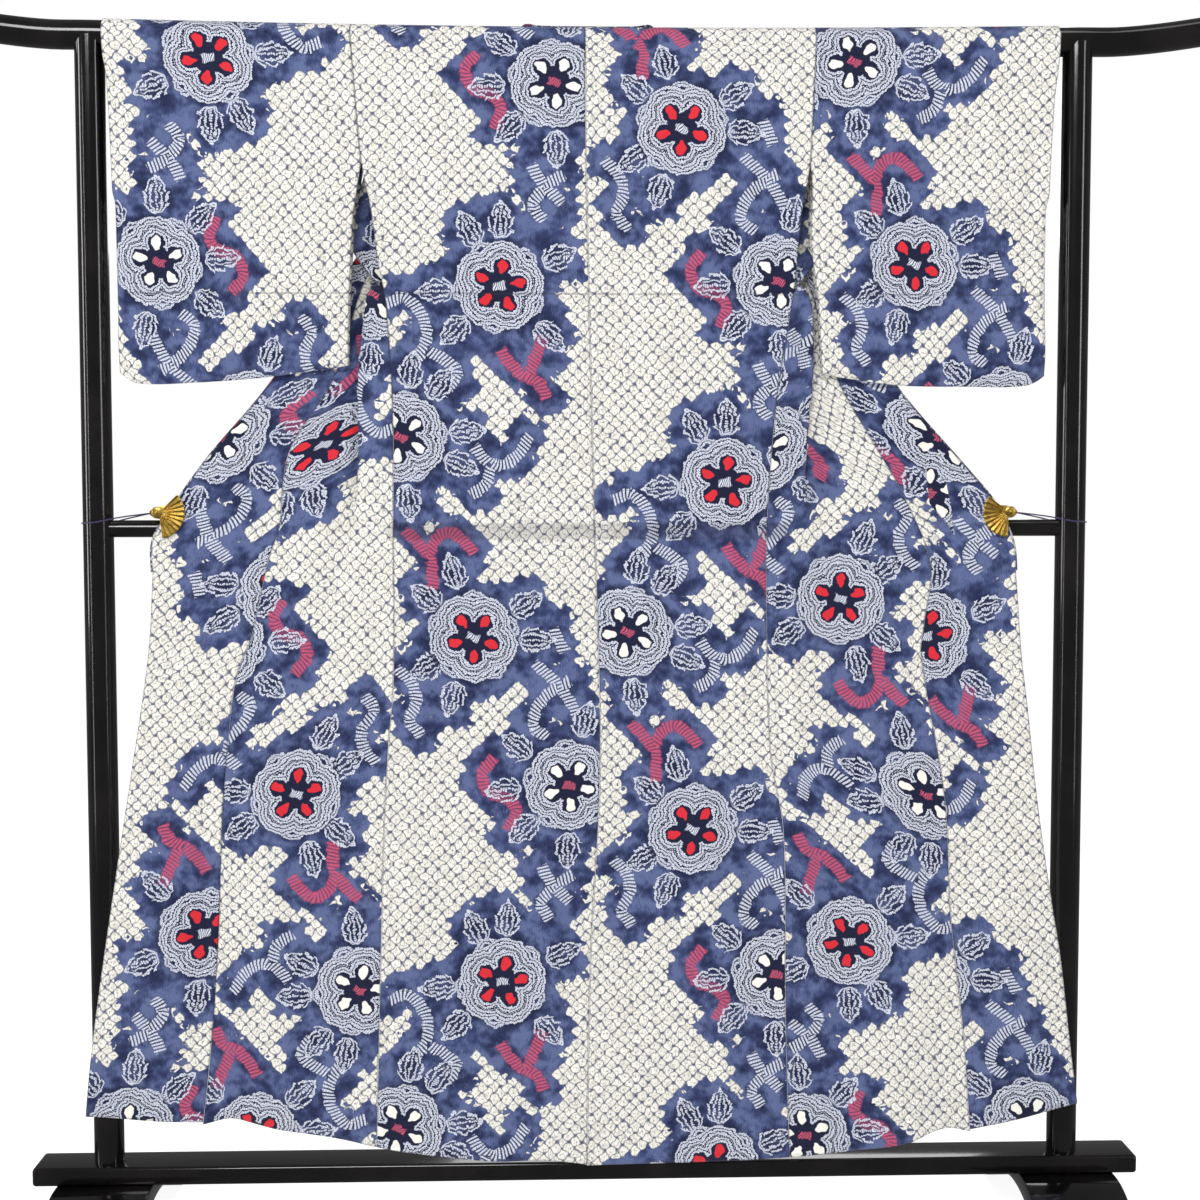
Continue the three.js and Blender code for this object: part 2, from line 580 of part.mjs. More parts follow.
// The collar: one folded band, from one front over the neck to the other, turned inwards.
// Each part of it lies behind the front's edge, or lies over the rail at the neck.
function collarPiece() {
  const behindCloth = (CLOTH + COLLAR_THICK) / 2 + COLLAR_CLEAR;
  const wingRow = (side, z) => {
    const width = mix(COLLAR_END_WIDTH, COLLAR_NECK_WIDTH, fade(COLLAR_END_Z, 1600, z));
    const behind = behindCloth + COLLAR_FREE * fade(1200, 1380, z);
    const edge = wingPoint(side, FRONT_EDGE[side], z, COLLAR_PROUD);
    edge.y += behind;
    const above = wingPoint(side, FRONT_EDGE[side], z + 8, COLLAR_PROUD);
    const below = wingPoint(side, FRONT_EDGE[side], z - 8, COLLAR_PROUD);
    const run = new THREE.Vector3().subVectors(below, above).setY(0).normalize();
    const inward = new THREE.Vector3(SIGN[side] * run.z, 0, -Math.abs(run.x));
    return COLLAR_COLUMNS.map((part) => {
      const p = edge.clone().addScaledVector(inward, width * part);
      p.y = atHeight(DEPTHS, p.z, 'wing') + behind + COLLAR_SWING * part * fade(1060, 1200, z);
      return p;
    });
  };
  const neckRow = (side, { out, lift, start, lean }) => {
    const radius = RAIL_R + CLOTH_CLEAR + COLLAR_THICK / 2 + lift;
    const from = THREE.MathUtils.degToRad(start);
    const down = Math.sqrt(1 - lean * lean);
    return COLLAR_COLUMNS.map((part) => {
      const run = COLLAR_NECK_WIDTH * part;
      const x = out - run * lean;
      const angle = Math.max(from - (run * down) / radius, 0);
      const hang = Math.max(0, run * down - radius * from);
      const p = point(side, x, radius * Math.cos(angle), 0);
      p.z = railAxis(x) + radius * Math.sin(angle) - hang;
      return p;
    });
  };
  const left = [...COLLAR_HEIGHTS.map((z) => wingRow('left', z)),
    ...COLLAR_NECK.map((row) => neckRow('left', row))];
  const right = [...COLLAR_HEIGHTS.map((z) => wingRow('right', z)),
    ...COLLAR_NECK.slice(0, -1).map((row) => neckRow('right', row))];
  return wall([...left, ...right.reverse()], COLLAR_THICK);
}

// A closed geometry as a solid that can be cut and joined, and back again
function toManifold(geometry) {
  const bare = geometry.clone();
  bare.deleteAttribute('normal');
  bare.deleteAttribute('uv');
  const merged = mergeVertices(bare, 1e-3);
  const vertProperties = new Float32Array(merged.attributes.position.array);
  const triVerts = new Uint32Array(merged.index.array);
  return new wasm.Manifold(new wasm.Mesh({ numProp: 3, vertProperties, triVerts }));
}

function toGeometry(manifold) {
  const { vertProperties, triVerts } = manifold.getMesh();
  const geometry = new THREE.BufferGeometry();
  geometry.setAttribute('position', new THREE.BufferAttribute(vertProperties, 3));
  geometry.setIndex(new THREE.BufferAttribute(triVerts, 1));
  geometry.computeVertexNormals();
  return geometry;
}

function roundBar(radius, length, sides = 24) {
  return new THREE.CylinderGeometry(radius, radius, length, sides);
}

// A round bar along the rail's curve, with domed ends
function railBar(radius, from, to) {
  const sides = 20;
  const steps = 24;
  const rings = [];
  const dome = [{ depth: 2, size: 0.75 }, { depth: 5, size: 0.95 }];
  const stops = dome.map(({ depth, size }) => ({ x: from + depth, size }));
  for (let i = 1; i < steps; i += 1) stops.push({ x: mix(from, to, i / steps), size: 1 });
  stops.push(...[...dome].reverse().map(({ depth, size }) => ({ x: to - depth, size })));
  for (const { x, size } of stops) {
    const ring = [];
    for (let k = 0; k < sides; k += 1) {
      const angle = (2 * Math.PI * k) / sides;
      const z = railAxis(x) + radius * size * Math.sin(angle);
      ring.push(new THREE.Vector3(x, radius * size * Math.cos(angle), z));
    }
    rings.push(ring);
  }
  const points = [...rings.flat(), new THREE.Vector3(from, 0, railAxis(from)),
    new THREE.Vector3(to, 0, railAxis(to))];
  const triangles = [];
  for (let s = 0; s + 1 < rings.length; s += 1) {
    for (let k = 0; k < sides; k += 1) {
      const a = s * sides + k;
      const b = s * sides + ((k + 1) % sides);
      triangles.push([a, b, b + sides], [a, b + sides, a + sides]);
    }
  }
  const lastRing = (rings.length - 1) * sides;
  for (let k = 0; k < sides; k += 1) {
    const next = (k + 1) % sides;
    triangles.push([points.length - 2, next, k]);
    triangles.push([points.length - 1, lastRing + k, lastRing + next]);
  }
  return solid(points, triangles);
}

function standMeshes() {
  const lacquer = () => new THREE.MeshStandardMaterial(
    { color: 0x0b0a0a, roughness: 0.15, metalness: 0 });
  const meshes = [];
  const add = (name, geometry) => {
    const mesh = new THREE.Mesh(geometry, lacquer());
    mesh.name = name;
    meshes.push(mesh);
    return mesh;
  };
  add('stand_top_rail', railBar(RAIL_R, -RAIL_HALF, RAIL_HALF));
  const saddle = toManifold(railBar(RAIL_R + GAP, -RAIL_HALF, RAIL_HALF));
  const postFoot = PLANK_TOP + GAP;
  const posts = {};
  for (const side of ['left', 'right']) {
    const bar = roundBar(POST_R, RAIL_Z - postFoot);
    bar.rotateX(Math.PI / 2);
    bar.translate(SIGN[side] * POST_X, 0, (RAIL_Z + postFoot) / 2);
    posts[side] = toManifold(bar).subtract(saddle);
    add(`stand_post_${side}`, toGeometry(posts[side]));
  }
  const cross = roundBar(MID_RAIL_R, 2 * POST_X, 20);
  cross.rotateZ(Math.PI / 2);
  cross.translate(0, 0, MID_RAIL_Z);
  let middle = toManifold(cross);
  for (const side of ['left', 'right']) {
    const clear = roundBar(POST_R + GAP, 200);
    clear.rotateX(Math.PI / 2);
    clear.translate(SIGN[side] * POST_X, 0, MID_RAIL_Z);
    middle = middle.subtract(toManifold(clear));
  }
  const pieces = middle.decompose().sort((a, b) => b.volume() - a.volume());
  add('stand_mid_rail', toGeometry(pieces[0]));
  add('stand_plank', plankGeometry());
  for (const side of ['left', 'right']) {
    const foot = add(`stand_foot_${side}`, footGeometry());
    foot.position.x = SIGN[side] * POST_X;
  }
  return meshes;
}

// The long plank, its upper and lower edges rounded
function plankGeometry() {
  const round = 5;
  const shape = roundedRectangle(PLANK_DEPTH, PLANK_HEIGHT, round);
  const geometry = new THREE.ExtrudeGeometry(shape, {
    depth: 2 * PLANK_HALF, bevelEnabled: false, curveSegments: 4,
  });
  geometry.translate(0, 0, -PLANK_HALF);
  geometry.rotateX(Math.PI / 2);
  geometry.rotateZ(Math.PI / 2);
  geometry.translate(0, 0, PLANK_TOP - PLANK_HEIGHT / 2);
  return mergedSolid(geometry);
}

function roundedRectangle(width, height, round) {
  const w = width / 2;
  const h = height / 2;
  const shape = new THREE.Shape();
  shape.moveTo(-w + round, -h);
  shape.lineTo(w - round, -h);
  shape.absarc(w - round, -h + round, round, -Math.PI / 2, 0, false);
  shape.lineTo(w, h - round);
  shape.absarc(w - round, h - round, round, 0, Math.PI / 2, false);
  shape.lineTo(-w + round, h);
  shape.absarc(-w + round, h - round, round, Math.PI / 2, Math.PI, false);
  shape.lineTo(-w, -h + round);
  shape.absarc(-w + round, -h + round, round, Math.PI, 1.5 * Math.PI, false);
  return shape;
}

function mergedSolid(geometry) {
  return toGeometry(toManifold(geometry));
}

// An arched foot: a board that rises from the floor at both ends to carry the plank
function footGeometry() {
  const top = PLANK_TOP - PLANK_HEIGHT - GAP;
  const flat = PLANK_DEPTH / 2 + 8;
  const inner = FOOT_HALF - FOOT_PAD;
  const under = top - FOOT_THICK;
  const shape = new THREE.Shape();
  shape.moveTo(-FOOT_HALF, 0);
  shape.lineTo(-inner, 0);
  shape.bezierCurveTo(-inner + 44, 6, -80, under, 0, under);
  shape.bezierCurveTo(80, under, inner - 44, 6, inner, 0);
  shape.lineTo(FOOT_HALF, 0);
  shape.lineTo(FOOT_HALF, FOOT_TIP);
  shape.bezierCurveTo(FOOT_HALF - 70, FOOT_THICK, flat + 60, top, flat, top);
  shape.lineTo(-flat, top);
  shape.bezierCurveTo(-flat - 60, top, -FOOT_HALF + 70, FOOT_THICK, -FOOT_HALF, FOOT_TIP);
  const geometry = new THREE.ExtrudeGeometry(shape, {
    depth: FOOT_WIDTH, bevelEnabled: false, curveSegments: 10,
  });
  geometry.translate(0, 0, -FOOT_WIDTH / 2);
  geometry.rotateX(Math.PI / 2);
  geometry.rotateZ(Math.PI / 2);
  return mergedSolid(geometry);
}

// The clip that holds a front edge out: a fluted fan before the cloth, joined round the
// edge to a plain jaw behind it
function fanGeometry(side) {
  const { x, z, turn } = CLIP[side];
  const cloth = atHeight(DEPTHS, z - FAN_R, 'wing') - CLOTH / 2;
  const frontY = cloth - FAN_WAVE - FAN_THICK / 2 - FAN_CLEAR;
  const rows = [];
  for (const radius of [FAN_ROOT_R, FAN_BEND_R, FAN_R]) {
    const height = FAN_WAVE * fade(FAN_ROOT_R, FAN_BEND_R, radius);
    const row = [];
    for (let k = 0; k <= 2 * FAN_RIBS; k += 1) {
      const angle = THREE.MathUtils.degToRad(turn + FAN_SPREAD * (k / (2 * FAN_RIBS) - 0.5));
      const out = x - radius * Math.cos(angle);
      const wave = k % 2 ? height : -height;
      row.push(point(side, out, frontY + wave, z + radius * Math.sin(angle)));
    }
    rows.push(row);
  }
  const fan = toManifold(wall(rows, FAN_THICK));
  const collarBack = CLOTH / 2 + COLLAR_CLEAR + COLLAR_THICK;
  const backY = atHeight(DEPTHS, z, 'wing') + collarBack + COLLAR_FREE + FAN_CLEAR;
  const hinge = roundBar(HINGE_R, backY - frontY + FAN_THICK, 16);
  hinge.translate(SIGN[side] * (x + HINGE_SHIFT), (backY + frontY) / 2, z);
  const jaw = roundBar(HINGE_R, FAN_THICK, 16);
  jaw.scale(JAW_STRETCH, 1, 1.2);
  jaw.translate(SIGN[side] * (x - HINGE_R), backY + FAN_THICK / 2, z);
  return toGeometry(fan.add(toManifold(hinge)).add(toManifold(jaw)));
}

// The cord: from the knot past the front of the post, round it, and back behind
function cordGeometry(side) {
  const { x, z } = CLIP[side];
  const start = x + CORD_START;
  const reach = POST_R + CORD_R + CORD_CLEAR;
  const points = [point(side, start, -15, z - 1)];
  points.push(point(side, mix(start, POST_X, 0.5), -20.5, z - 6));
  for (let k = 0; k <= 8; k += 1) {
    const angle = THREE.MathUtils.degToRad(-90 + (180 * k) / 8);
    points.push(point(side, POST_X + reach * Math.cos(angle), reach * Math.sin(angle),
      mix(z - 13, z - 16, k / 8)));
  }
  points.push(point(side, mix(start, POST_X, 0.5), 15, z - 8));
  points.push(point(side, start, -9, z - 1));
  const section = new THREE.Shape();
  section.absarc(0, 0, CORD_R, 0, 2 * Math.PI, false);
  const geometry = new THREE.ExtrudeGeometry(section, {
    steps: 30,
    curveSegments: 4,
    bevelEnabled: false,
    extrudePath: new THREE.CatmullRomCurve3(points, false, 'centripetal'),
  });
  return mergedSolid(geometry);
}

function clothMeshes() {
  const cotton = () => new THREE.MeshStandardMaterial(
    { color: 0x6f7ba6, roughness: 0.9, metalness: 0 });
  const pieces = { collar: collarPiece() };
  for (const side of ['left', 'right']) {
    pieces[`body_${side}`] = bodyPiece(side);
    pieces[`okumi_${side}`] = okumiPiece(side);
    pieces[`sleeve_${side}`] = sleevePiece(side);
  }
  return Object.entries(pieces).map(([name, geometry]) => {
    const mesh = new THREE.Mesh(geometry, cotton());
    mesh.name = name;
    return mesh;
  });
}

function clipMeshes() {
  const gold = () => new THREE.MeshStandardMaterial(
    { color: 0xc09a35, roughness: 0.3, metalness: 1 });
  const purple = () => new THREE.MeshStandardMaterial(
    { color: 0x2a1c4a, roughness: 0.8, metalness: 0 });
  const meshes = [];
  for (const side of ['left', 'right']) {
    const fan = new THREE.Mesh(fanGeometry(side), gold());
    fan.name = `fan_clip_${side}`;
    const cord = new THREE.Mesh(cordGeometry(side), purple());
    cord.name = `clip_cord_${side}`;
    meshes.push(fan, cord);
  }
  return meshes;
}

const yukata = new THREE.Group();
yukata.add(...standMeshes(), ...clothMeshes(), ...clipMeshes());
export default yukata;
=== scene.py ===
"""Looks of a tie-dyed cotton yukata hung over a lacquered kimono stand, seen from the back.

Sizes in the tables are in millimetres, as in the part's source, and +Z is up. The cloth is
built again as finer shells on the form of its solids, with its creases and its pattern.
"""

import math
from contextlib import contextmanager

import bmesh
import bpy
import numpy as np
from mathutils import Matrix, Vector


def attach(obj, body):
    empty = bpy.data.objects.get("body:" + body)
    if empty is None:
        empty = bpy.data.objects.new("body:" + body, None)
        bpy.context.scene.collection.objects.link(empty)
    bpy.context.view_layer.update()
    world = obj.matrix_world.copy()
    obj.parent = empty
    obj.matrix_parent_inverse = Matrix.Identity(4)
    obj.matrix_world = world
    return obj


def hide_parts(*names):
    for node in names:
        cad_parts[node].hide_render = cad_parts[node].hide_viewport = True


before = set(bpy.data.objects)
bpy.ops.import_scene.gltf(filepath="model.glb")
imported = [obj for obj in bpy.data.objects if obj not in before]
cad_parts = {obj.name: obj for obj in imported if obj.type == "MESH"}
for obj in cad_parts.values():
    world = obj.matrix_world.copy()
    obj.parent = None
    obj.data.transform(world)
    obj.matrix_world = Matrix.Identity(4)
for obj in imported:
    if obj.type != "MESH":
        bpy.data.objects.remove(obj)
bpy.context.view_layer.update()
MM = 0.001
TURN = 2 * math.pi
QUARTER = math.pi / 2


def hermite(start, end, slope_in, slope_out, t):
    return ((2 * t**3 - 3 * t**2 + 1) * start + (t**3 - 2 * t**2 + t) * slope_in
            + (3 * t**2 - 2 * t**3) * end + (t**3 - t**2) * slope_out)


class Table:
    """Columns of numbers, smooth through their rows, read by the first column."""

    def __init__(self, columns, *rows):
        self.columns = columns.split()
        self.rows = np.array(sorted(rows), float)

    def at(self, column, place):
        x = self.rows[:, 0]
        y = self.rows[:, self.columns.index(column)]
        last = len(x) - 1
        place = np.clip(place, x[0], x[-1])
        i = np.clip(np.searchsorted(x, place, side="left") - 1, 0, last - 1)
        before, after = np.maximum(i - 1, 0), np.minimum(i + 2, last)
        span = x[i + 1] - x[i]
        t = (place - x[i]) / span
        slope_in = (y[i + 1] - y[before]) / (x[i + 1] - x[before]) * span
        slope_out = (y[after] - y[i]) / (x[after] - x[i]) * span
        return hermite(y[i], y[i + 1], slope_in, slope_out, t)


# Stand sizes
RAIL_Z = 1666.5
RAIL_R = 19.5
RAIL_SAG = 7
RAIL_BEND_START = 718
RAIL_HALF = 890
RAIL_END_RISE = 22
POST_X = 677
POST_R = 20.5
MID_RAIL_Z = 996
MID_RAIL_R = 11.8
PLANK_HALF = 777
PLANK_DEPTH = 61
PLANK_TOP = 106
PLANK_HEIGHT = 26
FOOT_WIDTH = 134
FOOT_HALF = 215
FOOT_THICK = 22
FOOT_TIP = 9
FOOT_PAD = 46
GAP = 0.3

# Cloth sizes
CLOTH = 1.5
SHELL = 0.9
CLOTH_CLEAR = 1
CLOTH_R = RAIL_R + CLOTH_CLEAR + CLOTH / 2
NECK_HALF = 90
ARMHOLE_Z = 1498
SIDE_SEAM_TOP = 1320
OKUMI_TOP = 1480
CUFF_Z = 1450
SLEEVE_TURN = 4.5
COLLAR_THICK = 3
COLLAR_END_Z = 937
COLLAR_NECK_WIDTH = 57
COLLAR_END_WIDTH = 75
COLLAR_PROUD = 2.5
COLLAR_CLEAR = 0.4
COLLAR_FREE = 1.5
COLLAR_SWING = 3
HEM_ROW = 150
TOP_ROW = 1640
ROW_STEP = 8
SEAM_BLEND = 8
SIGN = {"left": -1, "right": 1}

# Clips
CLIP = {"left": {"x": 588, "z": 1018, "turn": -19}, "right": {"x": 583, "z": 1018, "turn": -25}}
FAN_R = 35
FAN_SPREAD = 128
FAN_RIBS = 10
FAN_PLEAT = 1.1
FAN_THICK = 1.4
HINGE_R = 8
CORD_R = 1
CORD_START = 16
CORD_CLEAR = 0.4

DEPTHS = Table("z back wing",
    (100, -36, -33), (400, -32.5, -29), (700, -29, -25.5), (930, -25.6, -20.5),
    (1015, -25, -18), (1105, -24.2, -13.5), (1195, -23.3, -8.5), (1260, -22.9, -2),
    (1320, -22.5, 6), (1379, -22.1, 16), (1498, -21.8, 31), (1600, -21.4, 34),
    (1640, -CLOTH_R, 29), (1666.5, -CLOTH_R, 24))
CENTRE_SEAM = Table("z x",
    (100, -5), (400, 1), (600, 13), (740, 15), (1000, 8), (1170, 4), (1500, -3), (1700, -4))
FRONT_SECTIONS = Table("z strip stripY inner innerY mouth mouthY fold",
    (1640, -60, 21.5, -212, 25, -208, 27, 1), (1600, -60, 21.5, -196, 26, -180, 32, 1),
    (1540, -80, 18, -180, 23, -145, 31, 1), (1498, -70, 15, -158, 20, -112, 28, 1),
    (1455, -55, 8, -145, 14, -80, 26, 1), (1420, -40, 2, -135, 9, -62, 20, 1),
    (1379, -25, -4, -118, 4, -45, 14, 1), (1345, -5, -11, -98, -3, -25, 8, 1),
    (1320, 22, -18.5, -75, -7, 0, 3, 1), (1260, 38, -19, -50, -11, 25, -3, 1),
    (1195, 48, -19, -22, -12.5, 62, -7, 1), (1150, 49, -20, 2, -13.5, 68, -9.5, 1),
    (1105, 50, -21, 22, -14.5, 72, -12, 0.95), (1060, 52, -22, 38, -16, 78, -16, 0.85),
    (1015, 55, -23, 55, -16, 85, -19, 0.7), (970, 55, -24, 68, -17, 92, -22, 0.55),
    (930, 55, -24.5, 76, -19, 100, -23, 0.35), (880, 55, -25, 85, -21, 110, -24, 0.15),
    (820, 55, -26, 95, -24, 120, -25, 0), (700, 55, -29, 95, -26, 120, -27, 0),
    (560, 55, -31, 95, -28, 120, -29, 0), (420, 55, -33, 95, -29, 120, -30, 0),
    (280, 55, -34, 95, -30, 120, -31, 0), (150, 55, -35, 95, -31, 120, -32, 0))
FRONT_SIDE = Table("z x y",
    (1320, 0, -20.5), (1345, 16, -9), (1379, 35, 5.5), (1420, 31, 9), (1455, 19, 12),
    (1480, 4, 13.5), (1498, 0, 12))
SLEEVE_FRONT_DEPTH = Table("z y",
    (1190, -14.3), (1260, -8.5), (1320, -3), (1379, 2.5), (1498, 12), (1600, 19),
    (1666.5, CLOTH_R))
OKUMI_ROWS = Table("seam edge",
    (1455, 1463), (1420, 1436), (1379, 1401), (1345, 1370), (1320, 1347), (1260, 1292),
    (1195, 1240), (1150, 1197), (1105, 1150), (1060, 1106), (1015, 1058), (970, 1000),
    (930, 948), (880, 890), (820, 824), (700, 700), (560, 560), (420, 420), (280, 280),
    (150, 150))
COLLAR_NECK = Table("out lift start lean",
    (107, 3.4, 8, 0.7), (101, 3.2, 34, 0.5), (94, 3, 62, 0.28), (84, 2.8, 90, 0.08),
    (68, 0.6, 90, 0), (34, 0, 90, 0), (0, 0, 90, 0))
SIDE_EDGE = {
    "left": Table("z x",
        (100, 299), (339, 292), (551, 285), (690, 278), (788, 269.6), (1008, 268.5),
        (1172, 268.5), (1307, 277), (1354, 286), (1432, 296), (1498, 308.5), (1628, 319),
        (1700, 325)),
    "right": Table("z x",
        (100, 283), (334, 274.7), (574, 270.6), (687, 252), (896, 246), (998, 246), (1172, 259),
        (1287, 277), (1345, 285), (1423, 292), (1498, 304), (1549, 306.5), (1700, 313)),
}
OKUMI_SEAM = {
    "left": Table("z x",
        (100, 545), (264, 526), (422, 515), (601, 507), (705, 498), (795, 485), (843, 466),
        (954, 440), (1000, 425), (1068, 419), (1110, 408), (1203, 350), (1320, 315), (1400, 278),
        (1480, 237)),
    "right": Table("z x",
        (100, 541), (288, 527), (420, 511), (471, 506), (615, 498), (819, 463), (862, 467),
        (947, 475), (1046, 435), (1110, 398), (1204, 345), (1320, 312), (1400, 278), (1480, 237)),
}
FRONT_EDGE = {
    "left": Table("z x",
        (100, 705), (219, 695), (365, 677), (506, 656), (623, 637), (770, 613), (841, 604),
        (929, 599), (983, 597), (1041, 560), (1095, 521), (1195, 437), (1379, 313), (1498, 227),
        (1600, 153), (1660, 105)),
    "right": Table("z x",
        (100, 697), (229, 681), (383, 664), (470, 650), (614, 628), (752, 612), (818, 604),
        (926, 596), (981, 590), (1036, 562), (1074, 530), (1195, 426), (1379, 310), (1498, 227),
        (1600, 153), (1660, 105)),
}
HEM = {
    "left": Table("x z",
        (0, 104), (23, 108), (70, 112), (130, 111), (195, 117), (265, 127), (299, 134),
        (360, 147), (430, 159), (466, 168), (500, 175), (540, 167), (580, 165), (650, 172),
        (705, 177)),
    "right": Table("x z",
        (0, 104), (60, 105), (200, 108), (296, 113), (387, 120), (452, 130), (485, 144),
        (509, 149), (545, 143), (590, 143), (632, 159), (690, 179)),
}
SLEEVE_INNER = {
    "left": Table("z x",
        (1200, 328.5), (1307, 326), (1421, 320), (1462, 313.7), (1498, 308.5)),
    "right": Table("z x",
        (1200, 322), (1306, 315.7), (1387, 306), (1462, 307), (1498, 304)),
}
SLEEVE_OUTER = {
    "left": Table("z x",
        (1190, 630), (1212, 638.6), (1306, 641), (1441, 644), (1607, 650), (1639, 655),
        (1700, 657)),
    "right": Table("z x",
        (1190, 617), (1207, 631), (1309, 632), (1419, 633.5), (1581, 640), (1635, 646),
        (1700, 649)),
}
SLEEVE_BOTTOM = {
    "left": Table("across z",
        (0, 1219), (0.17, 1211), (0.4, 1202), (0.67, 1196), (0.94, 1195), (1, 1209)),
    "right": Table("across z",
        (0, 1209), (0.1, 1203), (0.36, 1193), (0.66, 1191.5), (0.94, 1193), (1, 1206)),
}


def mix(a, b, t):
    return a + (b - a) * t


def fade(start, end, value):
    t = np.clip((value - start) / (end - start), 0, 1)
    return t * t * (3 - 2 * t)


# --- The form of the cloth, as in the solids -------------------------------------------

# The cloth follows the rail's sag from the first height, fully from the second. It follows
# the hem's line below the third, and the hem's wave fades out upwards.
SAG_FROM, SAG_FULL = 1350, 1620
HEM_TO = 560
WAVE_HEIGHT, WAVE_LENGTH = 3, 27


def rail_axis(x):
    """Height of the rail's axis: it sags between the posts and curves up past them."""
    out = np.abs(x)
    sag = np.where(out < POST_X, RAIL_SAG * (1 - (out / POST_X) ** 2), 0)
    bend = np.maximum(0, out - RAIL_BEND_START) / (RAIL_HALF - RAIL_BEND_START)
    return RAIL_Z - sag + RAIL_END_RISE * bend**1.5


def cloth_height(side, out, z):
    """Real height of a cloth row: it follows the rail's sag above and the hem below."""
    high = fade(SAG_FROM, SAG_FULL, z)
    low = 1 - fade(HEM_ROW, HEM_TO, z)
    return z + high * (rail_axis(out) - RAIL_Z) + low * (HEM[side].at("z", out) - HEM_ROW)


def hem_wave(out, z):
    reach = fade(280, 340, out) * (1 - fade(300, 1000, z))
    return WAVE_HEIGHT * reach * np.sin((out - 300) / WAVE_LENGTH)


def points(side, out, y, z):
    out, y, z = np.broadcast_arrays(SIGN[side] * np.asarray(out, float), y, z)
    return np.stack([out, y, z], axis=-1)


def distance_along(line):
    return np.concatenate([[0], np.cumsum(np.linalg.norm(np.diff(line, axis=0), axis=1))])


def smooth_curve(stops, steps):
    """Points at equal distances along a smooth curve through the stops."""
    ends = [2 * stops[0] - stops[1], *stops, 2 * stops[-1] - stops[-2]]
    t = np.linspace(0, 1, 24, endpoint=False)[:, None]
    parts = []
    for p0, p1, p2, p3 in zip(ends, ends[1:], ends[2:], ends[3:]):
        d0, d1, d2 = (max(np.linalg.norm(b - a), 1e-3) ** 0.5
                      for a, b in ((p0, p1), (p1, p2), (p2, p3)))
        run_in = ((p1 - p0) / d0 - (p2 - p0) / (d0 + d1) + (p2 - p1) / d1) * d1
        run_out = ((p2 - p1) / d1 - (p3 - p1) / (d1 + d2) + (p3 - p2) / d2) * d1
        parts.append(hermite(p1, p2, run_in, run_out, t))
    line = np.vstack([*parts, stops[-1][None]])
    run = distance_along(line)
    places = np.linspace(0, run[-1], steps + 1)
    return np.stack([np.interp(places, run, line[:, k]) for k in range(3)], axis=1)


def front_section(side, z, columns):
    """One level section of the front, from the side seam or armhole to the okumi seam."""
    row = {name: FRONT_SECTIONS.at(name, z) for name in FRONT_SECTIONS.columns}
    edge = SIDE_EDGE[side].at("x", z)
    sewn = 1 - fade(SIDE_SEAM_TOP, SIDE_SEAM_TOP + SEAM_BLEND, z)
    upper = fade(ARMHOLE_Z - SEAM_BLEND, ARMHOLE_Z, z)
    free = (1 - sewn) * (1 - upper)
    start = edge + free * FRONT_SIDE.at("x", z) + GAP / 2
    start_y = (sewn * DEPTHS.at("back", z) + free * FRONT_SIDE.at("y", z)
               + upper * SLEEVE_FRONT_DEPTH.at("y", z))
    wing = DEPTHS.at("wing", z)
    table = FRONT_EDGE if z > OKUMI_TOP else OKUMI_SEAM
    seam = table[side].at("x", z)
    fold = row["fold"]
    stops = [(start, start_y)]
    for name, opened in (("strip", 0.23), ("inner", 0.45), ("mouth", 0.62)):
        out = mix(mix(start, seam, opened), edge + row[name], fold)
        stops.append((out, row[f"{name}Y"]))
    stops.append((mix(mix(start, seam, 0.9), mix(edge + row["mouth"], seam, 0.6), fold), wing))
    stops.append((seam - GAP / 2, wing))
    line = smooth_curve([np.array([x, y, z]) for x, y in stops], columns)
    out = line[:, 0]
    return points(side, out, line[:, 1] + hem_wave(out, z), cloth_height(side, out, z))


def grid_of(rows):
    """Rows of points as one array, short rows filled with nan."""
    width = max(len(row) for row in rows)
    full = np.full((len(rows), width, 3), np.nan)
    for i, row in enumerate(rows):
        full[i, :len(row)] = row
    return full


def lengths_along(full, axis):
    """Distance of each point along its row (axis 1) or its column (axis 0)."""
    step = np.nan_to_num(np.linalg.norm(np.diff(full, axis=axis), axis=2))
    pad = np.zeros_like(step[:1] if axis == 0 else step[:, :1])
    return np.concatenate([pad, np.cumsum(step, axis=axis)], axis=axis)


# the neck is cut out of the body from this turn of the rail on
NECK_CUT_TURN = math.pi * 0.62


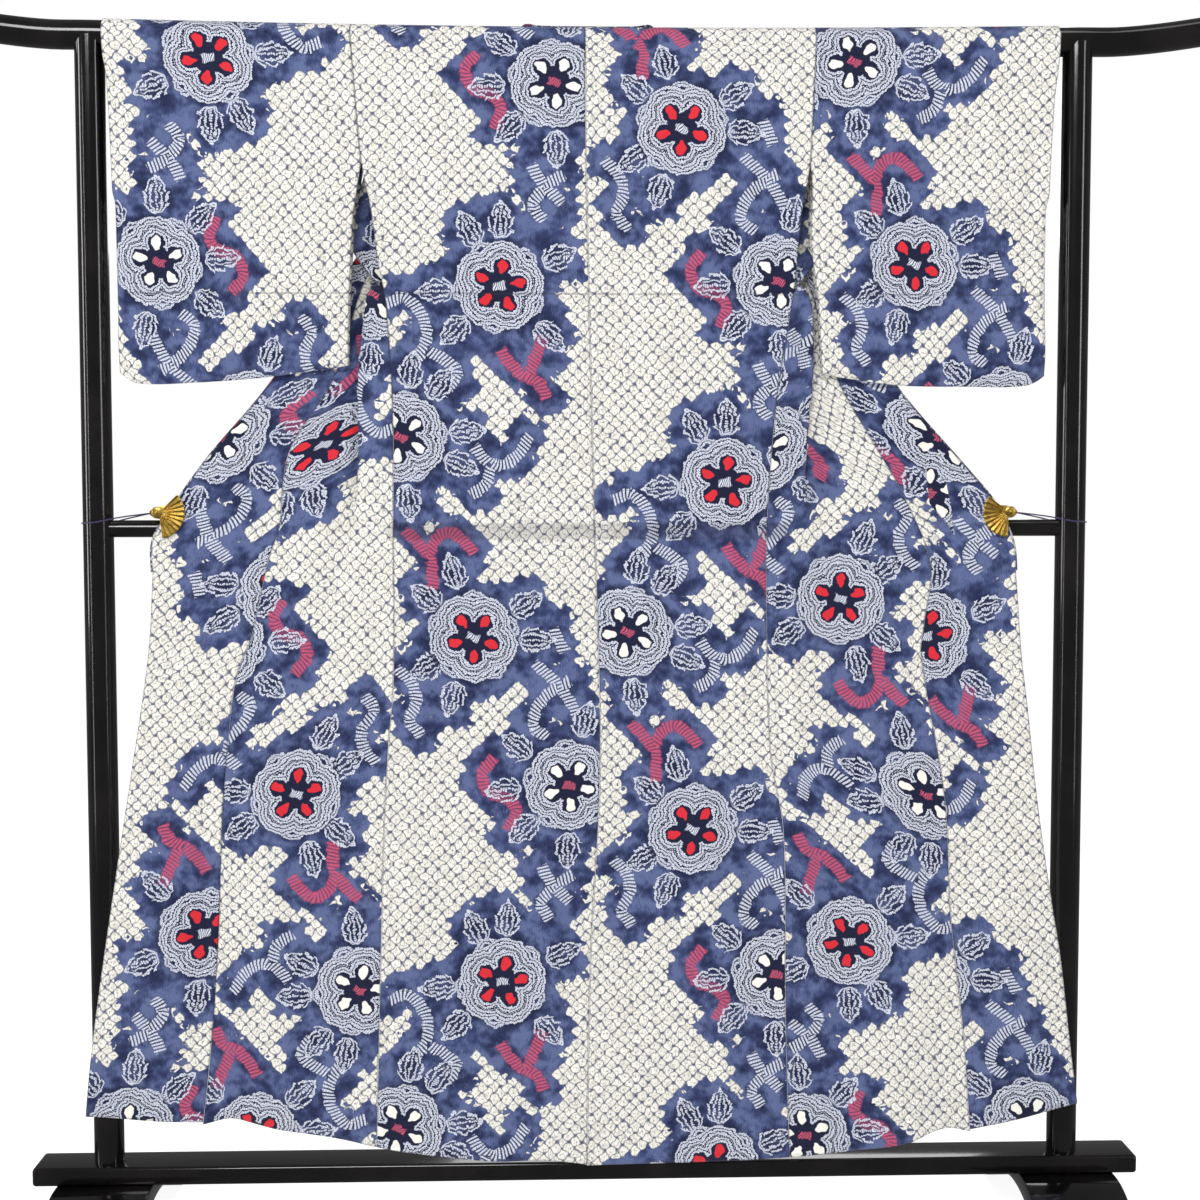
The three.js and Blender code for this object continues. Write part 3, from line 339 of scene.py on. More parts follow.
def body_grid(side):
    """Points of a body panel, and its flat coordinates: u from the centre back seam
    outwards and v from the shoulder down the back, negative down the front."""
    columns, neck_columns = 64, 18
    rows, flat = [], []
    across = np.linspace(0, 1, columns + 1)
    neck = np.linspace(0, 1, neck_columns + 1)[1:]
    quarter = CLOTH_R * QUARTER

    def back_like(z, y, level=None):
        centre = SIGN[side] * CENTRE_SEAM.at("x", z) + GAP / 2
        edge = SIDE_EDGE[side].at("x", z) - GAP / 2
        out = np.concatenate([mix(edge, NECK_HALF, across), mix(NECK_HALF, centre, neck)])
        height = cloth_height(side, out, z) if level is None else rail_axis(out) + level
        return out, points(side, out, y, height), out - centre

    for z in np.concatenate([np.arange(HEM_ROW, TOP_ROW - 6, ROW_STEP), [TOP_ROW]]):
        out, row, u = back_like(z, DEPTHS.at("back", z))
        rows.append(row)
        flat.append(np.stack([u, quarter + RAIL_Z - row[:, 2]], axis=1))
    turns = 14
    for k in range(turns + 1):
        turn = math.pi * (1 - k / turns)
        out, row, u = back_like(RAIL_Z, CLOTH_R * math.cos(turn), CLOTH_R * math.sin(turn))
        count = len(row) if turn > NECK_CUT_TURN else columns + 1
        rows.append(row[:count])
        v = np.full(count, CLOTH_R * (turn - QUARTER))
        flat.append(np.stack([u[:count], v], axis=1))
    for z in np.concatenate([[TOP_ROW], np.arange(TOP_ROW - 10, HEM_ROW, -ROW_STEP),
                             [HEM_ROW]]):
        row = front_section(side, z, columns)
        width = SIDE_EDGE[side].at("x", z) - SIGN[side] * CENTRE_SEAM.at("x", z)
        run = lengths_along(row[None], 1)[0]
        rows.append(row)
        flat.append(np.stack([width - run, row[:, 2] - RAIL_Z - quarter], axis=1))
    uv = np.full((len(rows), columns + neck_columns + 1, 2), np.nan)
    for i, row in enumerate(flat):
        uv[i, :len(row)] = row
    return grid_of(rows), uv


def wing_point(side, table, z, shift=0.0):
    out = table[side].at("x", z) + shift
    y = DEPTHS.at("wing", z) + hem_wave(out, z)
    return points(side, out, y, cloth_height(side, out, z))


def okumi_grid(side):
    """Points of the narrow front overlap, with u from its seam and v from the shoulder."""
    seam_z = np.arange(1455, HEM_ROW - 1, -6.0)
    edge_z = OKUMI_ROWS.at("edge", seam_z)
    start = wing_point(side, OKUMI_SEAM, seam_z, GAP / 2)
    end = wing_point(side, FRONT_EDGE, edge_z)
    part = np.linspace(0, 1, 31)[None, :, None]
    full = mix(start[:, None], end[:, None], part)
    wave = hem_wave(np.abs(full[..., 0]), full[..., 2])
    full[..., 1] += wave - mix(wave[:, :1], wave[:, -1:], part[..., 0])
    u = lengths_along(full, 1)
    v = np.broadcast_to(RAIL_Z + CLOTH_R * QUARTER - full[..., 2], u.shape)
    return full, np.stack([u, v], axis=-1)


# the sleeve's outer corner is rounded from this share of its width on
ROUND_FROM = 0.955


def sleeve_grid(side):
    """Points of a sleeve from the foot of its back over the rail to the foot of its front.
    u runs from the armhole out to the cuff and v from the shoulder down the back."""
    across = np.concatenate([np.linspace(0, 0.9, 64), np.linspace(0.9, 1, 15)[1:]])
    bottom = SLEEVE_BOTTOM[side].at("z", across) + SLEEVE_TURN
    downs = np.linspace(0, 1, 64)

    def layer(down, depth):
        z = mix(RAIL_Z, bottom, down)
        inner = np.where(z >= ARMHOLE_Z, SIDE_EDGE[side].at("x", z),
                         SLEEVE_INNER[side].at("x", z))
        out = mix(inner + GAP / 2, SLEEVE_OUTER[side].at("x", z), across)
        y = depth.at("back" if depth is DEPTHS else "y", z)
        height = z + fade(SAG_FROM, SAG_FULL, z) * (rail_axis(out) - RAIL_Z)
        return points(side, out, y, height)

    back = np.stack([layer(d, DEPTHS) for d in downs])
    front = np.stack([layer(d, SLEEVE_FRONT_DEPTH) for d in downs])
    middle = (back[..., 1] + front[..., 1]) / 2
    foot = middle[-1]
    near_end = np.clip((across - ROUND_FROM) / (1 - ROUND_FROM), 0, 1)
    pinch = (1 - np.sqrt(np.maximum(0, 1 - near_end**2)))[None] * (
        1 - fade(CUFF_Z - 14, CUFF_Z + 6, back[..., 2]))
    back[..., 1] = mix(back[..., 1], middle, pinch)
    front[..., 1] = mix(front[..., 1], middle, pinch)
    turn = []
    for angle in np.linspace(math.pi, 0, 13)[1:-1]:
        row = back[0].copy()
        row[:, 1] = CLOTH_R * math.cos(angle)
        row[:, 2] = rail_axis(row[:, 0]) + CLOTH_R * math.sin(angle)
        turn.append(row)

    def closing(row, share):
        row = row.copy()
        row[:, 1] = mix(row[:, 1], foot, share)
        row[:, 2] -= SLEEVE_TURN * share
        return row

    last = mix(back[-1], front[-1], 0.5)
    last[:, 2] -= SLEEVE_TURN
    rows = [last, closing(back[-1], 0.8), closing(back[-1], 0.35), *back[::-1], *turn,
            *front, closing(front[-1], 0.35), closing(front[-1], 0.8), last]
    full = np.stack(rows)
    run = lengths_along(full, 0)
    top = len(back) + 3 + len(turn) // 2
    v = run[top][None] - run
    u = np.broadcast_to(across[None] * (SLEEVE_OUTER[side].at("x", 1500)
                                        - SIDE_EDGE[side].at("x", 1500)), v.shape)
    return full, np.stack([u, v], axis=-1)


def collar_grid():
    """Points of the folded collar band from one front over the neck to the other."""
    part = np.linspace(0, 1, 23)
    behind_cloth = (CLOTH + COLLAR_THICK) / 2 + COLLAR_CLEAR

    def wing_row(side, z):
        width = mix(COLLAR_END_WIDTH, COLLAR_NECK_WIDTH, fade(COLLAR_END_Z, 1600, z))
        behind = behind_cloth + COLLAR_FREE * fade(1200, 1380, z)
        edge = wing_point(side, FRONT_EDGE, z, COLLAR_PROUD)
        run = wing_point(side, FRONT_EDGE, z - 8) - wing_point(side, FRONT_EDGE, z + 8)
        run = run / math.hypot(run[0], run[2])
        inward = np.array([SIGN[side] * run[2], 0, -abs(run[0])])
        row = edge + inward * (width * part)[:, None]
        swing = COLLAR_SWING * part * fade(1060, 1200, z)
        row[:, 1] = DEPTHS.at("wing", row[:, 2]) + behind + swing
        return row

    def neck_row(side, out):
        radius = RAIL_R + CLOTH_CLEAR + COLLAR_THICK / 2 + COLLAR_NECK.at("lift", out)
        start = math.radians(COLLAR_NECK.at("start", out))
        lean = COLLAR_NECK.at("lean", out)
        down = COLLAR_NECK_WIDTH * part * math.sqrt(1 - lean**2)
        x = out - COLLAR_NECK_WIDTH * part * lean
        angle = np.maximum(start - down / radius, 0)
        hang = np.maximum(0, down - radius * start)
        z = rail_axis(x) + radius * np.sin(angle) - hang
        return points(side, x, radius * np.cos(angle), z)

    halves = []
    for side in ("left", "right"):
        wing = [wing_row(side, z) for z in np.linspace(COLLAR_END_Z, 1632, 100)]
        neck = [neck_row(side, out) for out in np.linspace(107, 0, 22)]
        join = []
        for k in range(len(part)):
            bridge = smooth_curve([wing[-8][k], wing[-1][k], neck[0][k], neck[5][k]], 30)
            join.append(bridge[[14, 16, 18, 20]])
        halves.append([*wing, *np.stack(join, axis=1), *neck])
    full = np.stack([*halves[0], *halves[1][-2::-1]])
    u = lengths_along(full, 1)
    v = lengths_along(full, 0)[:, :1] * np.ones_like(u)
    return full, np.stack([u, v], axis=-1)


# Soft creases: start x and z, end x and z, half width and depth. A negative
# depth is a trough.
CREASES = {
    "body_left": [
        (-40, 1640, -55, 1180, 9, 1.6), (-120, 1655, -150, 1330, 12, -1.8),
        (-215, 1650, -205, 1420, 10, 1.5), (-70, 1310, -120, 860, 16, 2.2),
        (-180, 1200, -205, 640, 20, -2.4), (-30, 900, -60, 260, 15, 1.8),
        (-230, 1090, -262, 900, 12, 2.0), (-120, 620, -160, 190, 22, -2.5),
        (-250, 560, -240, 200, 14, 2.0), (-2, 1322, -276, 1319, 3.5, 2.2),
        (-2, 1314, -276, 1311, 4.5, -1.4), (-340, 1130, -430, 760, 18, 1.8),
        (-400, 620, -440, 240, 20, -2.2), (-300, 1480, -296, 1340, 7, 1.6),
        (-300, 1300, -330, 960, 10, -3.0), (-285, 930, -320, 520, 12, -2.6),
    ],
    "body_right": [
        (60, 1640, 50, 1230, 10, -1.6), (150, 1655, 175, 1360, 12, 1.8),
        (240, 1640, 235, 1380, 9, -1.5), (95, 1290, 70, 820, 18, 2.2),
        (190, 1180, 215, 700, 15, 2.0), (40, 760, 70, 230, 17, -2.2),
        (150, 700, 190, 180, 20, 2.4), (2, 1324, 268, 1321, 3.5, 2.2),
        (2, 1316, 268, 1313, 4.5, -1.4), (330, 1100, 420, 700, 18, -1.8),
        (380, 560, 400, 220, 17, 2.0), (225, 600, 235, 250, 12, -1.6),
        (290, 1280, 330, 980, 10, -3.0), (275, 900, 300, 480, 12, 2.6),
    ],
    "sleeve_left": [
        (-480, 1655, -492, 1270, 10, 1.8), (-405, 1650, -385, 1330, 12, -1.6),
        (-560, 1640, -575, 1300, 14, -1.8), (-620, 1600, -615, 1330, 8, 1.4),
        (-340, 1480, -350, 1260, 9, 1.8), (-362, 1400, -358, 1210, 6, -3.0),
    ],
    "sleeve_right": [
        (400, 1650, 380, 1300, 11, 1.7), (470, 1655, 485, 1270, 13, -1.8),
        (560, 1645, 545, 1340, 10, 1.6), (615, 1560, 600, 1290, 12, -1.6),
    ],
    "okumi_left": [
        (-480, 1180, -560, 780, 15, 1.8), (-520, 700, -545, 260, 17, -2.0),
    ],
    "okumi_right": [
        (470, 1140, 530, 780, 15, -1.8), (480, 620, 500, 230, 14, 1.8),
    ],
}
CREASE_FORCE = 1.7


# --- The pattern of one bolt of cloth, in its own flat millimetres ----------------------
# u runs across the bolt and v along it. The tied pattern repeats along the bolt.

REPEAT = 962
CELL = 12.4
RED, PALE = 1, 2
WHITE_LINE, PINK_LINE = 1, -1

# u, v, kind and turn in degrees
FLOWERS = [
    (255, 0, PALE, 12), (175, 275, RED, -8), (35, 481, PALE, 30), (125, 756, RED, 20),
]
# flower, distance along u and v from its centre
LEAVES = [
    (0, 22, -92), (0, -74, -56), (0, -92, 6), (0, -62, 62), (0, 2, 92), (0, 66, 70),
    (1, -40, -78), (1, 4, -90), (1, -89, 7), (1, -64, 62), (1, 68, 70), (1, 84, -40),
    (2, 16, -92), (2, 56, -74), (2, 91, -8), (2, 82, 38), (2, 8, 91), (2, -70, 60),
    (3, -24, -92), (3, 75, -47), (3, 88, 4), (3, -64, -56), (3, -67, 43), (3, -32, 86),
]
LEAF_HALF = 26
BLEND = 7
# colour, then the places that the stroke runs through
TENDRILS = [
    (PINK_LINE, (36, 608), (54, 626), (69, 647), (72, 690)),
    (PINK_LINE, (66, 648), (78, 622), (97, 611), (116, 622), (130, 640)),
    (WHITE_LINE, (208, 792), (235, 816), (252, 838), (266, 864)),
    (WHITE_LINE, (256, 816), (228, 832), (209, 856), (206, 880), (224, 894)),
    (WHITE_LINE, (20, 300), (44, 291), (66, 311), (74, 338), (68, 362), (48, 386)),
    (WHITE_LINE, (76, 364), (98, 376), (113, 392), (100, 416)),
    (PINK_LINE, (174, 362), (190, 384), (208, 398), (222, 372), (233, 344)),
    (PINK_LINE, (208, 398), (224, 406), (236, 428)),
    (WHITE_LINE, (134, 494), (150, 512), (168, 520), (192, 508), (211, 478)),
    (WHITE_LINE, (156, 522), (150, 544), (128, 560)),
    (PINK_LINE, (150, -40), (134, -14), (146, 10), (168, 16), (182, 34), (172, 62)),
    (WHITE_LINE, (222, 112), (238, 138), (264, 162)),
    (WHITE_LINE, (266, 124), (240, 142), (224, 166), (238, 186)),
    (WHITE_LINE, (236, 744), (250, 776)),
    (WHITE_LINE, (18, 798), (38, 820), (44, 846), (34, 870), (50, 892)),
]


def tendril_marks():
    """Places along every stroke: u, v, direction, distance run, its length and colour."""
    marks = []
    for colour, *stops in TENDRILS:
        line = smooth_curve([np.array([u, v, 0.0]) for u, v in stops], 60)
        run = distance_along(line)
        way = np.gradient(line, axis=0)
        way /= np.linalg.norm(way, axis=1)[:, None]
        for place, direction, gone in zip(line, way, run):
            marks.append((*place[:2], *direction[:2], gone, run[-1] * colour))
    return np.array(marks)


FLOWER_MARKS = np.array(FLOWERS, float)
LEAF_MARKS = np.array([(FLOWERS[f][0] + du, FLOWERS[f][1] + dv, math.atan2(dv, du))
                       for f, du, dv in LEAVES])
STROKE_MARKS = tendril_marks()


def wrapped(v):
    return (v + REPEAT / 2) % REPEAT - REPEAT / 2


def nearest(places, marks):
    """Index of the nearest mark to each place, and the way from the mark to the place."""
    du = places[:, None, 0] - marks[None, :, 0]
    dv = wrapped(places[:, None, 1] - marks[None, :, 1])
    best = (du**2 + dv**2).argmin(axis=1)
    row = np.arange(len(places))
    return best, np.stack([du[row, best], dv[row, best]], axis=1)


# how far the blue ground reaches from the marks
FLOWER_REACH, LEAF_REACH, STROKE_REACH = 75, 26, 16


def ground_field(places):
    """How far a place is outside the blue ground, negative inside it."""
    total = np.zeros(len(places))
    for marks, reach in ((FLOWER_MARKS, FLOWER_REACH), (LEAF_MARKS, LEAF_REACH),
                         (STROKE_MARKS, STROKE_REACH)):
        way = nearest(places, marks)[1]
        total += np.exp((reach - np.hypot(way[:, 0], way[:, 1])) / BLEND)
    field = -BLEND * np.log(np.maximum(total, 1e-12))
    u, v = places[:, 0], TURN * places[:, 1] / REPEAT
    # the edge of the blue wanders, the same way in each repeat
    wobble = (4.0 * np.sin(u / 21 + 9 * v) + 3.5 * np.sin(u / 13 - 14 * v + 1)
              + 3.0 * np.sin(u / 34 + 23 * v + 2))
    return field - 9 + wobble


def edge_distance(grid):
    """Distance of each point of a grid from the nearest side edge of its piece."""
    run = lengths_along(grid, 1)
    there = ~np.isnan(grid[..., 0])
    total = np.where(there, run, 0).max(axis=1)[:, None]
    down = lengths_along(grid, 0)
    full = np.where(there, down, 0).max(axis=0)[None]
    return np.minimum(np.minimum(run, total - run), np.minimum(down, full - down) + 0.5)


def turned(place, turn):
    x, y = place[..., 0], place[..., 1]
    return x * np.cos(turn) + y * np.sin(turn), y * np.cos(turn) - x * np.sin(turn)


def pattern_corners(flat, quads, from_edge):
    """Pattern coordinates at the corners of each face of a piece."""
    corners = flat[quads]
    middle = corners.mean(axis=1)
    offset = corners - middle[:, None]
    found = {}
    index, way = nearest(middle, FLOWER_MARKS)
    x, y = turned(way[:, None] + offset, np.radians(FLOWER_MARKS[index, 3])[:, None])
    kind = np.broadcast_to(FLOWER_MARKS[index, 2][:, None], x.shape)
    found["flower"] = np.stack([x, y, kind], axis=-1)

    index, way = nearest(middle, LEAF_MARKS)
    x, y = turned(way[:, None] + offset, LEAF_MARKS[index, 2][:, None])
    found["leaf"] = np.stack([x, y, from_edge[quads]], axis=-1)

    index, way = nearest(middle, STROKE_MARKS)
    local = way[:, None] + offset
    mark = STROKE_MARKS[index][:, None]
    gone = mark[..., 4] + local[..., 0] * mark[..., 2] + local[..., 1] * mark[..., 3]
    aside = local[..., 1] * mark[..., 2] - local[..., 0] * mark[..., 3]
    found["stroke"] = np.stack([gone, aside, np.broadcast_to(mark[..., 5], gone.shape)], axis=-1)

    step = 3.0
    field = ground_field(flat)
    slope_u = (ground_field(flat + [step, 0]) - field) / step
    slope_v = (ground_field(flat + [0, step]) - field) / step
    found["ground"] = np.stack([field, slope_u, slope_v], axis=-1)[quads]
    found["bolt"] = corners
    return found


# --- Meshes -----------------------------------------------------------------------------

def new_object(name, vertices, faces, material, smooth=True):
    mesh = bpy.data.meshes.new(name)
    mesh.from_pydata(np.asarray(vertices).tolist(), [], [list(map(int, f)) for f in faces])
    if smooth:
        mesh.polygons.foreach_set("use_smooth", np.ones(len(mesh.polygons), bool))
    mesh.materials.append(material)
    thing = bpy.data.objects.new(name, mesh)
    bpy.context.scene.collection.objects.link(thing)
    return thing


def crease_depth(piece, place):
    """Forward move of each place on a piece, from the creases in the table."""
    x, z = place[:, 0], place[:, 2]
    move = np.zeros(len(place))
    for x0, z0, x1, z1, width, depth in CREASES.get(piece, ()):
        run = np.array([x1 - x0, z1 - z0], float)
        t = ((x - x0) * run[0] + (z - z0) * run[1]) / (run @ run)
        held = np.clip(t, 0, 1)
        near = np.hypot(x - x0 - held * run[0], z - z0 - held * run[1])
        ends = fade(-0.04, 0.16, t) * (1 - fade(0.84, 1.04, t))
        wander = 1 + 0.3 * np.sin(t * 9 + x0)
        move += depth * ends * wander * np.exp(-((near / width) ** 2))
    return move


def shell(piece, grid, flat, thick, bolt, material):
    """A thin closed shell of cloth on a grid of middle points."""
    there = ~np.isnan(grid[..., 0])
    index = np.full(there.shape, -1)
    index[there] = np.arange(there.sum())
    middle, cloth = grid[there], flat[there]
    quads = np.stack([index[:-1, :-1], index[1:, :-1], index[1:, 1:], index[:-1, 1:]], axis=-1)
    quads = quads.reshape(-1, 4)
    quads = quads[(quads >= 0).all(axis=1)]

    def normals_of(place):
        a, b, c, d = (place[quads[:, k]] for k in range(4))
        face = np.cross(c - a, d - b)
        total = np.zeros_like(place)
        for k in range(4):
            np.add.at(total, quads[:, k], face)
        return total / np.maximum(np.linalg.norm(total, axis=1), 1e-9)[:, None]

    facing = normals_of(middle)[:, 1]
    middle = middle.copy()
    middle[:, 1] -= CREASE_FORCE * crease_depth(piece, middle) * np.abs(facing)
    normals = normals_of(middle)
    count = len(middle)
    vertices = np.vstack([middle + normals * thick / 2, middle - normals * thick / 2]) * MM

    edges = np.stack([quads, np.roll(quads, -1, axis=1)], axis=-1).reshape(-1, 2)
    owner = np.repeat(np.arange(len(quads)), 4)
    corner = np.tile(np.arange(4), len(quads))
    key = np.sort(edges, axis=1)
    key = key[:, 0] * count + key[:, 1]
    _, first, uses = np.unique(key, return_index=True, return_counts=True)
    rim = first[uses == 1]
    a, b = edges[rim, 0], edges[rim, 1]
    rim_faces = np.stack([b, a, a + count, b + count], axis=1)
    faces = np.vstack([quads, quads[:, ::-1] + count, rim_faces])

    thing = new_object(f"cloth_{piece}", vertices, faces, material)
    found = pattern_corners(bolt(cloth), quads, edge_distance(grid)[there])
    here, after = corner[rim], (corner[rim] + 1) % 4
    for name, values in found.items():
        rim_values = np.stack([values[owner[rim], after], values[owner[rim], here],
                               values[owner[rim], here], values[owner[rim], after]], axis=1)
        joined = np.concatenate([values, values[:, ::-1], rim_values])
        joined = joined.reshape(-1, values.shape[-1])
        if name == "bolt":
            layer = thing.data.uv_layers.new(name="bolt")
            layer.data.foreach_set("uv", (joined * MM).astype(np.float32).ravel())
        else:
            made = thing.data.attributes.new(name, "FLOAT_VECTOR", "CORNER")
            made.data.foreach_set("vector", joined.astype(np.float32).ravel())
    return thing


# --- Materials --------------------------------------------------------------------------

class Field:
    """A number over a surface. Arithmetic on it adds the nodes that work it out."""

    def __init__(self, tree, socket):
        self.tree = tree
        self.socket = socket

    def __add__(self, other):
        return calc(self.tree, "ADD", self, other)

    def __sub__(self, other):
        return calc(self.tree, "SUBTRACT", self, other)

    def __mul__(self, other):
        return calc(self.tree, "MULTIPLY", self, other)

    def __truediv__(self, other):
        return calc(self.tree, "DIVIDE", self, other)

    def __rsub__(self, other):
        return calc(self.tree, "SUBTRACT", other, self)

    __radd__ = __add__
    __rmul__ = __mul__

    def absolute(self):
        return calc(self.tree, "ABSOLUTE", self)

    def root(self):
        return calc(self.tree, "SQRT", self)

    def power(self, n):
        return calc(self.tree, "POWER", self, n)

    def part(self):
        return calc(self.tree, "FRACT", self)

    def whole(self):
        return calc(self.tree, "FLOOR", self)

    def step(self, low, high):
        """0 below low and 1 above high, smooth between; the other way if low is above high."""
        node = self.tree.nodes.new("ShaderNodeMapRange")
        node.interpolation_type = "SMOOTHSTEP"
        for name, value in (("From Min", low), ("From Max", high)):
            node.inputs[name].default_value = value
        self.tree.links.new(self.socket, node.inputs["Value"])
        return Field(self.tree, node.outputs["Result"])


def calc(tree, operation, *values):
    node = tree.nodes.new("ShaderNodeMath")
    node.operation = operation
    for slot, value in zip(node.inputs, values):
        if isinstance(value, Field):
            tree.links.new(value.socket, slot)
        else:
            slot.default_value = value
    return Field(tree, node.outputs[0])


def least(a, b):
    return calc(a.tree, "MINIMUM", a, b)


def most(a, b):
    return calc(a.tree, "MAXIMUM", a, b)


def length2(x, y):
    return (x * x + y * y).root()


def parts_of(tree, socket):
    node = tree.nodes.new("ShaderNodeSeparateXYZ")
    tree.links.new(socket, node.inputs[0])
    return [Field(tree, out) for out in node.outputs]


def vector_of(tree, x, y, z=0.0):
    node = tree.nodes.new("ShaderNodeCombineXYZ")
    for slot, value in zip(node.inputs, (x, y, z)):
        if isinstance(value, Field):
            tree.links.new(value.socket, slot)
        else:
            slot.default_value = value
    return node.outputs[0]


def attribute(tree, name):
    node = tree.nodes.new("ShaderNodeAttribute")
    node.attribute_name = name
    return parts_of(tree, node.outputs["Vector"])


def noise(tree, vector, scale, detail=2.0, roughness=0.5):
    node = tree.nodes.new("ShaderNodeTexNoise")
    node.inputs["Scale"].default_value = scale
    node.inputs["Detail"].default_value = detail
    node.inputs["Roughness"].default_value = roughness
    tree.links.new(vector, node.inputs["Vector"])
    return Field(tree, node.outputs[0])


def object_place(tree):
    return tree.nodes.new("ShaderNodeTexCoord").outputs["Object"]


def blended(tree, first, second, share):
    """One colour over another by a share, each a colour or a socket."""
    node = tree.nodes.new("ShaderNodeMix")
    node.data_type = "RGBA"
    tree.links.new(share.socket, node.inputs["Factor"])
    for slot, value in ((node.inputs[6], first), (node.inputs[7], second)):
        if isinstance(value, bpy.types.NodeSocket):
            tree.links.new(value, slot)
        else:
            slot.default_value = (*value, 1)
    return node.outputs[2]


def colour(red, green, blue):
    """Linear colour from the ordinary 0 to 255 values."""
    return tuple((c / 255 / 12.92) if c <= 10 else ((c / 255 + 0.055) / 1.055) ** 2.4
                 for c in (red, green, blue))


def new_material(name, **values):
    material = bpy.data.materials.new(name)
    material.use_nodes = True
    shader = material.node_tree.nodes["Principled BSDF"]
    for key, value in values.items():
        slot = shader.inputs[key.replace("_", " ")]
        slot.default_value = (*value, 1) if isinstance(value, tuple) else value
    return material, material.node_tree, shader


def bump(tree, shader, height, distance, strength):
    node = tree.nodes.new("ShaderNodeBump")
    node.inputs["Distance"].default_value = distance
    node.inputs["Strength"].default_value = strength
    tree.links.new(height.socket, node.inputs["Height"])
    tree.links.new(node.outputs["Normal"], shader.inputs["Normal"])


PETAL_OUT = 26  # from a flower's middle to the middle of a petal
RING_FIRST, RING_STEP = 13.6, 4.6  # radii of the dotted rings round a petal
RING_SPLIT, RING_SHIFT = 21.5, 2.0  # the rings past this radius stand further out
BUD_OUT, BUD_FIRST, BUD_STEP = 45, 14.0, 4.5  # the rings between two petals
DOT_HALF, DOT_PITCH = 1.95, 3.8
LEAF_WIDTH, LEAF_TEETH, TOOTH = 46, 3.4, 0.28
BAR_PITCH, BAR_HALF = 4.9, 8.4  # the bars of a stroke
TUCK_Z, RAIL_BEHIND_Z = 1.3165, 0.992
CREAM = colour(248, 245, 236)
CREAM_SHADE = colour(226, 222, 210)
LINE_BLUE = colour(124, 126, 138)
NODE_BLUE = colour(62, 68, 98)
LIGHT_BLUE = colour(94, 106, 148)
MID_BLUE = colour(63, 75, 119)
DEEP_BLUE = colour(28, 36, 72)
NAVY = colour(22, 27, 56)
STITCH_WHITE = colour(214, 218, 232)
RED_DYE = colour(216, 44, 56)
PINK_DYE = colour(200, 88, 116)
PINK_GROUND = colour(138, 66, 104)
# painted shade of the crinkles in the tied cells
CRINKLE_SHADOW_GREY = colour(150, 148, 146)
EYE_GREY = colour(96, 98, 108)
# painted shade: at the seams and the tuck, and where the rail stands behind the cloth
PAINTED_SEAM_SHADOW = colour(48, 50, 66)
PAINTED_RAIL_SHADOW = colour(40, 40, 52)


def chain(along, aside, half, pitch):
    """A line of small tied dots: along and aside are distances, half is half its width."""
    place = length2(((along / pitch).part() - 0.5) * pitch, aside)
    return place.step(half * 1.08, half * 0.8) * place.step(half * 0.1, half * 0.4)


